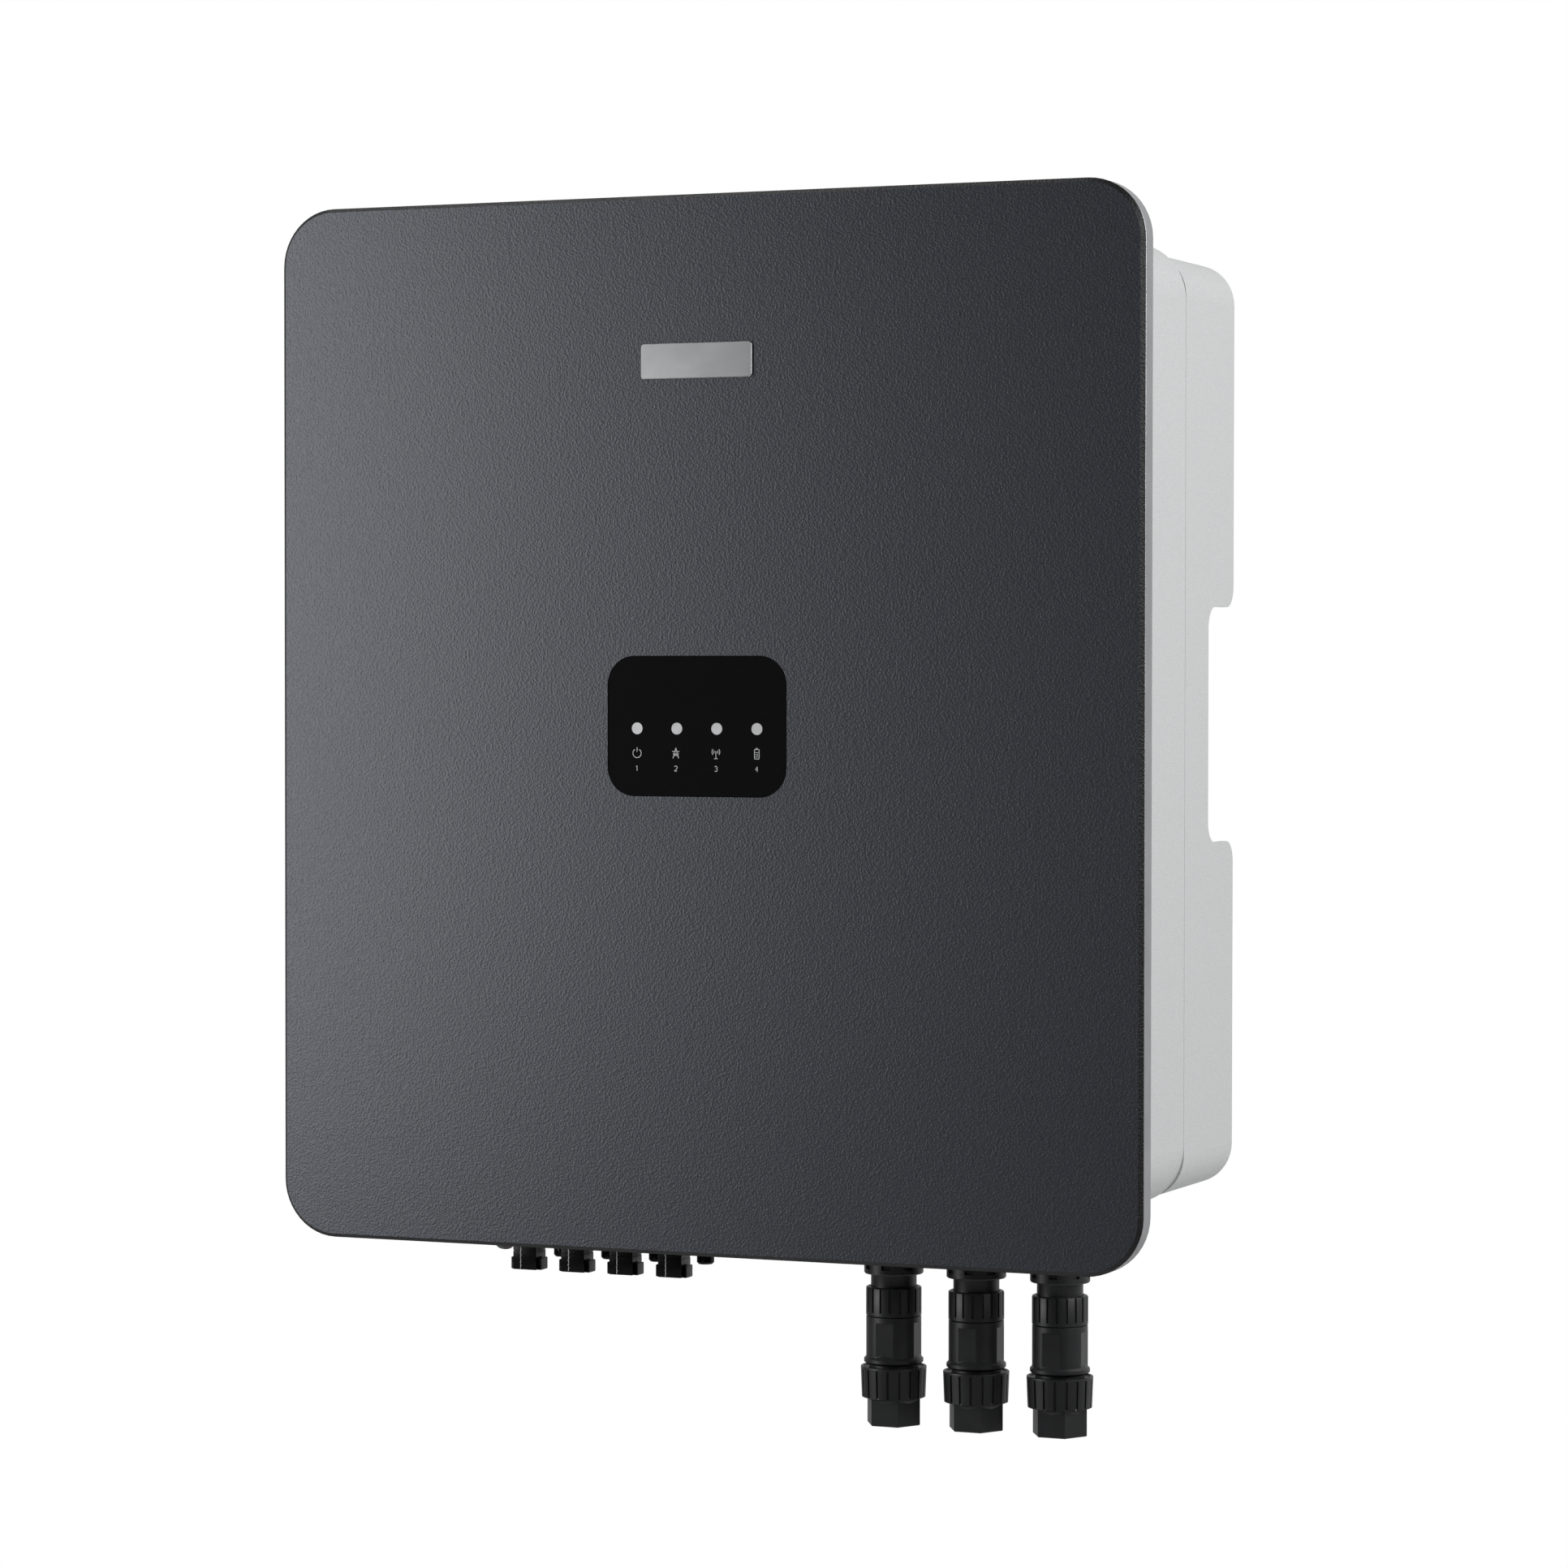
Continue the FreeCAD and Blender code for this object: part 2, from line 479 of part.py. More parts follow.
def housing():
    """The cast box, open at the front, with a flange for the lid and a register for the shroud."""
    middle = ("0", HOUSING_MID)
    blank = slab("housing_blank", "housing_width", "housing_height", "housing_depth", middle,
                 HOUSING_FRONT, "housing_corner")
    mouth = slab("housing_mouth", "housing_width - 2 * flange_width",
                 "housing_height - 2 * flange_width", "flange_thick + 2 * over", middle,
                 f"{HOUSING_FRONT} - over", "housing_corner - flange_width")
    inside = slab("housing_inside", "housing_width - 2 * housing_wall",
                  "housing_height - 2 * housing_wall",
                  "housing_depth - flange_thick - back_wall", middle,
                  f"{HOUSING_FRONT} + flange_thick", "housing_corner - housing_wall")
    register = slab("register_blank", "housing_width - 2 * shroud_wall",
                    "shroud_height - 2 * shroud_wall", "register_length", ("0", PANEL_MID), JOINT,
                    "shroud_corner - shroud_wall")
    hollow = slab("register_hollow", "housing_width - 2 * (shroud_wall + register_wall)",
                  "shroud_height - 2 * (shroud_wall + register_wall)", "register_length + over",
                  ("0", PANEL_MID), JOINT, "shroud_corner - shroud_wall - register_wall")
    threads = holes("housing_threads", "screw_radius", "flange_thick", cover_screw_spots(),
                    HOUSING_FRONT)
    sink_threads = holes("sink_threads", "sink_screw_radius", "sink_screw_length", sink_spots(),
                         f"{JOINT} + sink_base - sink_screw_length")
    earth_thread = rod("earth_thread", "earth_radius", "earth_length",
                       ("-housing_width / 2", "-earth_row", f"{UNDERSIDE} + earth_rise"), "x")
    shroud_threads = [shank for _, shank in shroud_screw_parts("thread")]
    shell = cut("housing_shell", fuse("housing_with_register", blank,
                                      cut("register_ring", register, hollow)),
                mouth, inside, threads, sink_threads, *shroud_threads, *port_holes())
    boss = rod("earth_boss_rod", "earth_boss", "earth_length",
               ("-housing_width / 2", "-earth_row", f"{UNDERSIDE} + earth_rise"), "x")
    node("main_housing", cut("main_housing", fuse("housing_with_boss", shell, boss), earth_thread))


def shroud_screw_parts(name):
    """Seats and shanks of the screws that hold the shroud to the register, top and bottom."""
    parts = []
    depth = f"{JOINT} + seam_gap + register_length / 2"
    for inward, outside in ((-1, f"{PANEL_MID} + shroud_height / 2"),
                            (1, f"{PANEL_MID} - shroud_height / 2")):
        end = f"{outside} - shroud_screw_length" if inward < 0 else outside
        for x in ("-shroud_screw_pitch", "0", "shroud_screw_pitch"):
            shank = rod(f"shroud_{name}_{len(parts)}", "shroud_screw_radius", "shroud_screw_length",
                        (x, depth, end))
            parts.append((((x, depth, outside), inward), shank))
    return parts


def shroud():
    """The wrap round the heat sink: notched sides, slotted top and bottom, open rear."""
    front = f"{JOINT} + seam_gap"
    depth = f"-rear_gap - ({front})"
    middle = ("0", PANEL_MID)
    blank = slab("shroud_blank", "housing_width", "shroud_height", depth, middle, front,
                 "shroud_corner")
    hollow = slab("shroud_hollow", "housing_width - 2 * shroud_wall",
                  "shroud_height - 2 * shroud_wall", f"{depth} + 2 * over", middle, f"{front} - over",
                  "shroud_corner - shroud_wall")
    notch = doc.addObject("PartDesign::Body", "notch")
    floor, rim, beyond = "-notch_depth", "0", "2 * notch_corner"
    low, high = "-notch_height / 2", "notch_height / 2"
    outline = drawn(notch, "YZ_Plane", "notch_outline", [
        (floor, low), (rim, low), (rim, f"{low} - 2 * notch_corner"),
        (beyond, f"{low} - 2 * notch_corner"), (beyond, f"{high} + 2 * notch_corner"),
        (rim, f"{high} + 2 * notch_corner"), (rim, high), (floor, high)])
    pad = notch.newObject("PartDesign::Pad", "notch_pad")
    pad.Profile = outline
    bind(pad, Length="housing_width + 2 * over")
    bind(notch, x="-housing_width / 2 - over", y="-rear_gap", z=f"{PANEL_MID} + notch_rise")
    doc.recompute()
    half = SIZES["notch_height"] / 2 + 1e-6
    rounded = notch.newObject("PartDesign::Fillet", "notch_rounded")
    rounded.Base = (pad, edges_where(pad.Shape, lambda a, b: abs(a.x - b.x) > 1 and abs(a.z) < half))
    bind(rounded, Radius="notch_corner")
    slots = [box(f"vent_slot_{k}", ("vent_width", "vent_length", "shroud_height + 2 * over"),
                 (f"{x} - vent_width / 2", f"{front} + vent_front",
                  f"{PANEL_MID} - shroud_height / 2 - over"))
             for k, x in enumerate(row("0", "vent_pitch", "vent_count"))]
    screws = shroud_screw_parts("passage")
    node("rear_shroud", cut("rear_shroud", blank, hollow, notch, *slots,
                            *[shank for _, shank in screws]))
    node("shroud_screws", group("shroud_screws", [
        screw(f"shroud_screw_{k}", "shroud_screw_radius", "shroud_screw_length",
              "shroud_screw_head", "shroud_screw_head_length", seat, "z", inward)
        for k, ((seat, inward), _) in enumerate(screws)]))


def sink_spots():
    """Where screws hold the heat sink to the housing's back."""
    return [(f"{side}(sink_width / 2 - sink_screw_side)",
             f"{PANEL_MID} {sign} (sink_height / 2 - sink_screw_end)")
            for side in ("-", "") for sign in "-+"]


def hook_places():
    """Places across the back of the two hooks, each on a thick rib of the heat sink."""
    return [f"{sign}hook_fins * fin_pitch" for sign in ("-", "")]


def hook_screw_spots():
    """Where screws hold the hooks to the ribs."""
    return [(x, f"{SHELF_TOP} - hook_drop + {k} * hook_screw_pitch + hook_screw_rise")
            for x in hook_places() for k in range(2)]


def heat_sink():
    """A base plate with upright fins and two thick ribs that carry the hooks."""
    body = doc.addObject("PartDesign::Body", "fins")
    half, low = "sink_width / 2", "-sink_height / 2"
    base_outline = drawn(body, "XZ_Plane", "sink_base_outline", [
        (f"-{half}", low), (half, low), (half, "sink_height / 2"), (f"-{half}", "sink_height / 2")])
    base = body.newObject("PartDesign::Pad", "sink_base_pad")
    base.Profile = base_outline
    base.Reversed = True
    bind(base, Length="sink_base")
    first = "-(fin_count - 1) / 2 * fin_pitch"
    fin_outline = drawn(body, "XZ_Plane", "fin_outline", [
        (f"{first} - fin_thick / 2", low), (f"{first} + fin_thick / 2", low),
        (f"{first} + fin_thick / 2", "sink_height / 2"), (f"{first} - fin_thick / 2", "sink_height / 2")])
    fin = body.newObject("PartDesign::Pad", "fin_pad")
    fin.Profile = fin_outline
    fin.Reversed = True
    bind(fin, Length=f"{SINK_BACK} - ({JOINT})")
    doc.recompute()
    fins = body.newObject("PartDesign::LinearPattern", "fin_row")
    fins.Originals = [fin]
    fins.Direction = (fin_outline, ["H_Axis"])
    bind(fins, Length="(fin_count - 1) * fin_pitch", Occurrences="fin_count")
    body.Tip = fins
    bind(body, y=JOINT, z=PANEL_MID)
    ribs = [box(f"sink_rib_{k}", ("sink_rib", f"{SINK_BACK} - ({JOINT})", "sink_height"),
                (f"{x} - sink_rib / 2", JOINT, f"{PANEL_MID} - sink_height / 2"))
            for k, x in enumerate(hook_places())]
    threads = holes("hook_threads", "hook_screw_radius", "hook_screw_length", hook_screw_spots(),
                    f"{SINK_BACK} + hook_sheet - hook_screw_length")
    bores = holes("sink_bores", "sink_screw_radius", "sink_base", sink_spots(), JOINT)
    room = holes("sink_screw_room", "sink_screw_head + sink_screw_room", "overall_depth", sink_spots(),
                 f"{JOINT} + sink_base")
    node("heat_sink", cut("heat_sink", fuse("sink_with_ribs", body, *ribs), threads, bores, room))
    node("heat_sink_screws", group("heat_sink_screws", [
        screw(f"sink_screw_{k}", "sink_screw_radius", "sink_screw_length", "sink_screw_head",
              "sink_screw_head_length", (x, f"{JOINT} + sink_base", z), "y", -1)
        for k, (x, z) in enumerate(sink_spots())]))


def wall_hanging():
    """The bracket on the wall, the hooks that drop into it and the spacers below."""
    width = "bracket_width"
    left = "-bracket_width / 2"
    plate = box("bracket_plate", (width, "bracket_sheet", "bracket_below + bracket_above"),
                (left, "-bracket_sheet", "-bracket_below"))
    channel = "hook_sheet + 2 * hook_play"
    shelf = box("bracket_shelf_sheet", (width, f"{channel} + 2 * bracket_sheet", "bracket_sheet"),
                (left, f"-({channel} + 2 * bracket_sheet)", "bracket_shelf"))
    lip = box("bracket_lip_sheet", (width, "bracket_sheet", "bracket_lip"),
              (left, f"-({channel} + 2 * bracket_sheet)", "bracket_shelf"))
    bolts = [(f"{sx}bolt_pitch_x / 2", f"{sz}bolt_pitch_z / 2") for sx in ("-", "") for sz in ("-", "")]
    bolt_holes = holes("bolt_holes", "bolt_hole", "bracket_sheet + 2 * over", bolts, "-bracket_sheet - over")
    node("wall_bracket", cut("wall_bracket", fuse("bracket_sheets", plate, shelf, lip), bolt_holes))

    top = f"{SHELF_TOP} + tongue_length"
    reach = "bracket_sheet + hook_play"
    sheets = []
    for k, x in enumerate(hook_places()):
        edge = f"{x} - hook_width / 2"
        back = box(f"hook_{k}_back", ("hook_width", "hook_sheet", "hook_drop + tongue_length + hook_sheet"),
                   (edge, SINK_BACK, f"{SHELF_TOP} - hook_drop"))
        bridge = box(f"hook_{k}_bridge", ("hook_width", f"-({reach}) - ({SINK_BACK})", "hook_sheet"),
                     (edge, SINK_BACK, top))
        tongue = box(f"hook_{k}_tongue", ("hook_width", "hook_sheet", "tongue_length + hook_sheet"),
                     (edge, f"-({reach}) - hook_sheet", SHELF_TOP))
        sheets.append(fuse(f"hook_{k}", back, bridge, tongue))
    passages = holes("hook_passages", "hook_screw_radius + hook_screw_play", "hook_sheet + 2 * over",
                     hook_screw_spots(), f"{SINK_BACK} - over")
    hooks = [cut(f"hook_{k}_drilled", sheet_piece, passages) for k, sheet_piece in enumerate(sheets)]
    node("hang_hooks", group("hang_hooks", hooks))
    node("hook_screws", group("hook_screws", [
        screw(f"hook_screw_{k}", "hook_screw_radius", "hook_screw_length", "hook_screw_head",
              "hook_screw_head_length", (x, f"{SINK_BACK} + hook_sheet", z), "y", -1)
        for k, (x, z) in enumerate(hook_screw_spots())]))
    node("lower_spacers", group("lower_spacers", [
        rod(f"lower_spacer_{k}", "spacer_radius", f"-({SINK_BACK})",
            (x, SINK_BACK, f"{PANEL_MID} - sink_height / 2 + spacer_rise"), "y")
        for k, x in enumerate(hook_places())]))


def dc_switch():
    """The rotary isolator: its body inside, its shaft, and the knob below the housing."""
    inner = f"{UNDERSIDE} + housing_wall"
    block = box("switch_block", ("switch_body", "switch_body", "switch_body_height"),
                (f"{SWITCH_X} - switch_shift - switch_body / 2", "-port_row - switch_body / 2", inner))
    collar = rod("switch_collar_rod", "switch_collar", "switch_collar_length + housing_wall + over",
                 (SWITCH_X, "-port_row", f"{UNDERSIDE} - switch_collar_length"))
    bore = rod("switch_bore", "switch_shaft + switch_shaft_play",
               "switch_shaft_depth + switch_collar_length + over",
               (SWITCH_X, "-port_row", f"{UNDERSIDE} - switch_collar_length - over"))
    node("dc_switch_body", cut("dc_switch_body", fuse("switch_blank", block, collar), bore))
    shaft_end = "knob_top + knob_length"
    node("dc_switch_shaft", rod("dc_switch_shaft", "switch_shaft",
                                f"switch_shaft_depth - switch_shaft_end + {shaft_end}",
                                (SWITCH_X, "-port_row", f"{UNDERSIDE} - ({shaft_end})")))
    disc = turned("knob_disc", [
        ("0", "-knob_top"), ("0", f"-({shaft_end})"), ("knob_radius - knob_foot_side", f"-({shaft_end})"),
        ("knob_radius", f"-({shaft_end}) + knob_foot_rise"), ("knob_radius", "-knob_top")],
        (SWITCH_X, "-port_row", UNDERSIDE))
    arch_mid = f"{UNDERSIDE} - ({shaft_end}) - grip_reach + grip_arch"
    arch = rod("grip_arch_rod", "grip_arch", "grip_width",
               (f"{SWITCH_X} - grip_width / 2", "-port_row", arch_mid), "x")
    bar = box("grip_bar", ("grip_width", "2 * knob_radius", "grip_reach + over"),
              (f"{SWITCH_X} - grip_width / 2", "-port_row - knob_radius",
               f"{UNDERSIDE} - ({shaft_end}) - grip_reach"))
    grip = common("knob_grip", bar, arch)
    socket = rod("knob_socket", "switch_shaft", "knob_length",
                 (SWITCH_X, "-port_row", f"{UNDERSIDE} - ({shaft_end})"))
    node("dc_switch_knob", cut("dc_switch_knob", fuse("knob_blank", disc, grip), socket))


def dc_connectors():
    """Four pairs of panel sockets: winged blocks in the front row, round noses behind."""
    nuts = []
    for k, x in enumerate(dc_places(), start=1):
        spot = (x, "-dc_front_row", UNDERSIDE)
        stem = turned(f"dc_plus_{k}_stem", [
            ("0", "-dc_flange_length"), ("dc_flange", "-dc_flange_length"), ("dc_flange", "0"),
            ("dc_thread", "0"), ("dc_thread", "dc_thread_length"), ("0", "dc_thread_length")], spot)
        neck = box(f"dc_plus_{k}_neck",
                   ("dc_neck_width", "dc_neck_depth", "dc_plus_length - dc_flange_length"),
                   (f"{x} - dc_neck_width / 2", "-dc_front_row - dc_neck_depth / 2",
                    f"{UNDERSIDE} - dc_plus_length"))
        wings = box(f"dc_plus_{k}_wings", ("dc_wing_span", "dc_wing_depth", "dc_wing_length"),
                    (f"{x} - dc_wing_span / 2", "-dc_front_row - dc_wing_depth / 2",
                     f"{UNDERSIDE} - dc_plus_length"))
        slots = [box(f"dc_plus_{k}_slot_{side}",
                     ("dc_wing_slot", "dc_neck_depth + 2 * over", "dc_wing_slot_length + over"),
                     (edge, "-dc_front_row - dc_neck_depth / 2 - over",
                      f"{UNDERSIDE} - dc_plus_length + dc_wing_length - dc_wing_slot_length"))
                 for side, edge in (("left", f"{x} - dc_neck_width / 2 - dc_wing_slot"),
                                    ("right", f"{x} + dc_neck_width / 2"))]
        seam = box(f"dc_plus_{k}_seam",
                   ("dc_seam_width", "2 * dc_seam_depth", "dc_plus_length - dc_flange_length"),
                   (f"{x} - dc_seam_width / 2",
                    "-dc_front_row - dc_neck_depth / 2 - dc_seam_depth",
                    f"{UNDERSIDE} - dc_plus_length"))
        bore = rod(f"dc_plus_{k}_bore", "dc_plus_bore", "dc_plus_bore_length",
                   (x, "-dc_front_row", f"{UNDERSIDE} - dc_plus_length"))
        node(f"dc_plus_socket_{k}", cut(f"dc_plus_socket_{k}",
                                        fuse(f"dc_plus_{k}_blank", stem, neck, wings),
                                        *slots, seam, bore))
        tip = "-dc_minus_length"
        barrel_end = "-dc_minus_barrel_length"
        node(f"dc_minus_socket_{k}", turned(f"dc_minus_socket_{k}", [
            ("dc_minus_bore", f"{tip} + dc_minus_bore_length"), ("dc_minus_bore", tip),
            ("dc_minus_nose - dc_nose_chamfer", tip), ("dc_minus_nose", f"{tip} + dc_nose_chamfer"),
            ("dc_minus_nose", barrel_end), ("dc_minus_barrel", barrel_end),
            ("dc_minus_barrel", "-dc_flange_length"), ("dc_flange", "-dc_flange_length"),
            ("dc_flange", "0"), ("dc_thread", "0"), ("dc_thread", "dc_thread_length"),
            ("0", "dc_thread_length"), ("0", f"{tip} + dc_minus_bore_length")],
            (x, "-dc_rear_row", UNDERSIDE)))
        for side, depth in (("plus", "-dc_front_row"), ("minus", "-dc_rear_row")):
            foot = (x, depth, f"{UNDERSIDE} + housing_wall")
            blank = hexagon(f"dc_{side}_nut_{k}_blank", "dc_nut", "dc_nut_length", foot)
            hole = rod(f"dc_{side}_nut_{k}_hole", "dc_thread", "dc_nut_length", foot)
            nuts.append(cut(f"dc_{side}_nut_{k}", blank, hole))
    node("dc_lock_nuts", group("dc_lock_nuts", nuts))


def ac_connectors():
    """Three round connectors: panel socket, coupling ring, plug sleeve and gland nut."""
    lug_top = "-ac_barrel_length"
    lug_end = f"{lug_top} - ac_lug_length"
    ring_top = f"{lug_end} - ac_neck_shown"
    ring_end = f"{ring_top} - ac_ring_length"
    plug_top = f"{ring_end} - ac_ring_play"
    neck_end = f"{ring_top} - ac_neck_hidden"
    collar_top = f"{plug_top} - ac_plug_length + ac_ring_play"
    collar_end = f"{collar_top} - ac_collar_length"
    spigot_end = f"{collar_end} - ac_spigot_length"
    nut_top = f"{collar_end} - ac_nut_gap"
    drum_end = f"{nut_top} - ac_drum_length"
    hex_end = f"{drum_end} - ac_hex_length"
    gaskets, lock_nuts, inserts, seals = [], [], [], []
    for k, x in enumerate(ac_places(), start=1):
        spot = (x, "-port_row", UNDERSIDE)
        flange_top = "-ac_seal_thick"
        flange_end = f"{flange_top} - ac_flange_length"
        socket = turned(f"ac_socket_{k}", [
            ("ac_bore", "ac_thread_length"), ("ac_bore", neck_end), ("ac_neck", neck_end),
            ("ac_neck", lug_end), ("ac_lug_ring", lug_end), ("ac_lug_ring", lug_top),
            ("ac_barrel", lug_top), ("ac_barrel", flange_end), ("ac_flange", flange_end),
            ("ac_flange", flange_top), ("ac_thread", flange_top),
            ("ac_thread", "ac_thread_length")], spot)
        node(f"ac_socket_{k}", grooved(socket, "ac_lug_ring", "ac_lug_depth", "ac_lug_gap",
                                       "ac_lug_count", lug_top, "ac_lug_notch"))
        ring_inside = "ac_neck + ac_ring_play"
        ring = turned(f"ac_ring_{k}", [
            (ring_inside, ring_top), (ring_inside, ring_end), ("ac_ring", ring_end),
            ("ac_ring", f"{ring_top} - ac_ring_edge"), ("ac_ring - ac_ring_edge", ring_top)], spot)
        node(f"ac_ring_{k}", grooved(ring, "ac_ring", "ac_groove_depth", "ac_groove_width",
                                     "ac_groove_count", ring_top, "ac_ring_length - ac_ring_band"))
        sleeve = turned(f"ac_sleeve_{k}", [
            ("ac_bore + ac_insert_play", neck_end), ("ac_bore + ac_insert_play", plug_top),
            ("ac_plug_bore", f"{plug_top} - ac_plug_step"), ("ac_plug_bore", spigot_end),
            ("ac_spigot", spigot_end), ("ac_spigot", collar_end), ("ac_collar", collar_end),
            ("ac_collar", f"{collar_top} - ac_collar_slope"), ("ac_plug", collar_top),
            ("ac_plug", plug_top), ("ac_neck", plug_top), ("ac_neck", neck_end)], spot)
        tall = "ac_flat_length"
        low = f"{UNDERSIDE} + {plug_top} - ac_flat_top - ac_flat_length"
        wide = "2 * ac_plug"
        flats = [box(f"ac_flat_{k}_front", (wide, "ac_plug", tall),
                     (f"{x} - ac_plug", "-port_row - ac_flat - ac_plug", low)),
                 box(f"ac_flat_{k}_rear", (wide, "ac_plug", tall),
                     (f"{x} - ac_plug", "-port_row + ac_flat", low)),
                 box(f"ac_flat_{k}_left", ("ac_plug", wide, tall),
                     (f"{x} - ac_flat - ac_plug", "-port_row - ac_plug", low)),
                 box(f"ac_flat_{k}_right", ("ac_plug", wide, tall),
                     (f"{x} + ac_flat", "-port_row - ac_plug", low))]
        node(f"ac_plug_{k}", cut(f"ac_plug_{k}", sleeve, *flats))
        drum = turned(f"ac_drum_{k}", [
            ("0", nut_top), ("ac_drum - ac_drum_mouth / 2", nut_top),
            ("ac_drum", f"{nut_top} - ac_drum_mouth / 2"),
            ("ac_drum_foot", f"{drum_end} + ac_drum_bevel"),
            ("ac_hex - ac_drum_bevel", f"{drum_end} - ac_drum_mouth / 2"),
            ("0", f"{drum_end} - ac_drum_mouth / 2")], spot)
        grooved(drum, "ac_drum", "ac_rib_depth", "ac_rib_width", "ac_rib_count",
                f"{nut_top} - ac_drum_mouth", "ac_drum_length - ac_drum_mouth - ac_drum_bevel")
        end = hexagon(f"ac_hex_{k}", "ac_hex", "ac_hex_length + ac_drum_bevel",
                      (x, "-port_row", f"{UNDERSIDE} + {hex_end}"))
        seal_room = "ac_spigot_length - ac_nut_gap + ac_seal_length + ac_ring_play"
        bore = rod(f"ac_nut_bore_{k}", "ac_spigot + ac_ring_play", f"{seal_room} + over",
                   (x, "-port_row", f"{UNDERSIDE} + {nut_top} - ({seal_room})"))
        way = rod(f"ac_cable_way_{k}", "ac_cable", "ac_drum_length + ac_hex_length + over",
                  (x, "-port_row", f"{UNDERSIDE} + {hex_end} - over / 2"))
        node(f"ac_gland_nut_{k}", cut(f"ac_gland_nut_{k}", fuse(f"ac_nut_blank_{k}", drum, end),
                                      bore, way))
        gaskets.append(turned(f"ac_flange_gasket_{k}", [
            ("ac_thread", "0"), ("ac_thread", flange_top), ("ac_flange - ac_seal_inset", flange_top),
            ("ac_flange - ac_seal_inset", "0")], spot))
        nut_foot = (x, "-port_row", f"{UNDERSIDE} + housing_wall")
        lock_nuts.append(cut(f"ac_lock_nut_{k}",
                             hexagon(f"ac_lock_blank_{k}", "ac_nut", "ac_nut_length", nut_foot),
                             rod(f"ac_lock_hole_{k}", "ac_thread", "ac_nut_length", nut_foot)))
        inserts.append(rod(f"ac_insert_{k}", "ac_bore", "ac_insert_reach + ac_thread_length",
                           (x, "-port_row", f"{UNDERSIDE} - ac_insert_reach")))
        seals.append(turned(f"ac_gland_seal_{k}", [
            ("ac_seal_bore", spigot_end), ("ac_seal_bore", f"{spigot_end} - ac_seal_length"),
            ("ac_spigot", f"{spigot_end} - ac_seal_length"), ("ac_spigot", spigot_end)], spot))
    node("ac_flange_gaskets", group("ac_flange_gaskets", gaskets))
    node("ac_lock_nuts", group("ac_lock_nuts", lock_nuts))
    node("ac_contact_inserts", group("ac_contact_inserts", inserts))
    node("ac_gland_seals", group("ac_gland_seals", seals))


def small_ports():
    """Vent valve, communication port cover, logger port with its cap, and the earth screw."""
    node("vent_valve", turned("vent_valve", [
        ("0", "-vent_cap_length"), ("vent_radius - small_edge", "-vent_cap_length"),
        ("vent_radius", "-vent_cap_length + small_edge"), ("vent_radius", "0"), ("vent_stem", "0"),
        ("vent_stem", "housing_wall + vent_stem_end"), ("0", "housing_wall + vent_stem_end")],
        (VENT_X, "-port_row", UNDERSIDE)))
    cover = doc.addObject("PartDesign::Body", "com_cover")
    half, deep = "com_width / 2", "com_depth / 2"
    outline = drawn(cover, "XY_Plane", "com_cover_outline", [
        (f"-{half}", f"-{deep}"), (half, f"-{deep}"), (half, deep), (f"-{half}", deep)])
    pad = cover.newObject("PartDesign::Pad", "com_cover_pad")
    pad.Profile = outline
    pad.Reversed = True
    bind(pad, Length="com_length")
    doc.recompute()
    rounded = cover.newObject("PartDesign::Fillet", "com_cover_rounded")
    rounded.Base = (pad, edges_where(pad.Shape, lambda a, b: abs(a.z - b.z) > 1e-6))
    bind(rounded, Radius="com_corner")
    bind(cover, x="com_x", y="-com_row", z=UNDERSIDE)
    node("com_port_cover", cover)
    node("logger_socket", turned("logger_socket", [
        ("logger_bore - logger_wall", "-logger_length"), ("logger_radius", "-logger_length"),
        ("logger_radius", "0"), ("logger_bore", "0"),
        ("logger_bore", "housing_wall + logger_thread_end"),
        ("logger_bore - logger_wall", "housing_wall + logger_thread_end")],
        ("logger_x", "-logger_row", UNDERSIDE)))
    inside = "logger_radius + logger_play"
    cap_floor = "-logger_cap_length + logger_cap_top"
    cap = turned("logger_cap", [
        ("0", "-logger_cap_length"), ("logger_cap_radius - small_edge", "-logger_cap_length"),
        ("logger_cap_radius", "-logger_cap_length + small_edge"), ("logger_cap_radius", "-logger_cap_top"),
        (inside, "-logger_cap_top"), (inside, f"{cap_floor} - logger_play"),
        ("0", f"{cap_floor} - logger_play")], ("logger_x", "-logger_row", UNDERSIDE))
    node("logger_cap", grooved(cap, "logger_cap_radius", "logger_groove_depth",
                               "logger_groove_width", "ac_rib_count", "-logger_cap_top",
                               "logger_cap_length - logger_cap_top - logger_plain"))
    side = "-housing_width / 2"
    place = ("-earth_row", f"{UNDERSIDE} + earth_rise")
    shank = rod("earth_shank", "earth_radius", "earth_length", (side, *place), "x")
    washer = rod("earth_washer_disc", "earth_washer", "earth_washer_thick",
                 (f"{side} - earth_washer_thick", *place), "x")
    head = hexagon("earth_head_bar", "earth_head", "earth_head_length",
                   (f"{side} - earth_washer_thick - earth_head_length", *place), "x")
    node("earth_screw", fuse("earth_screw", shank, washer, head))


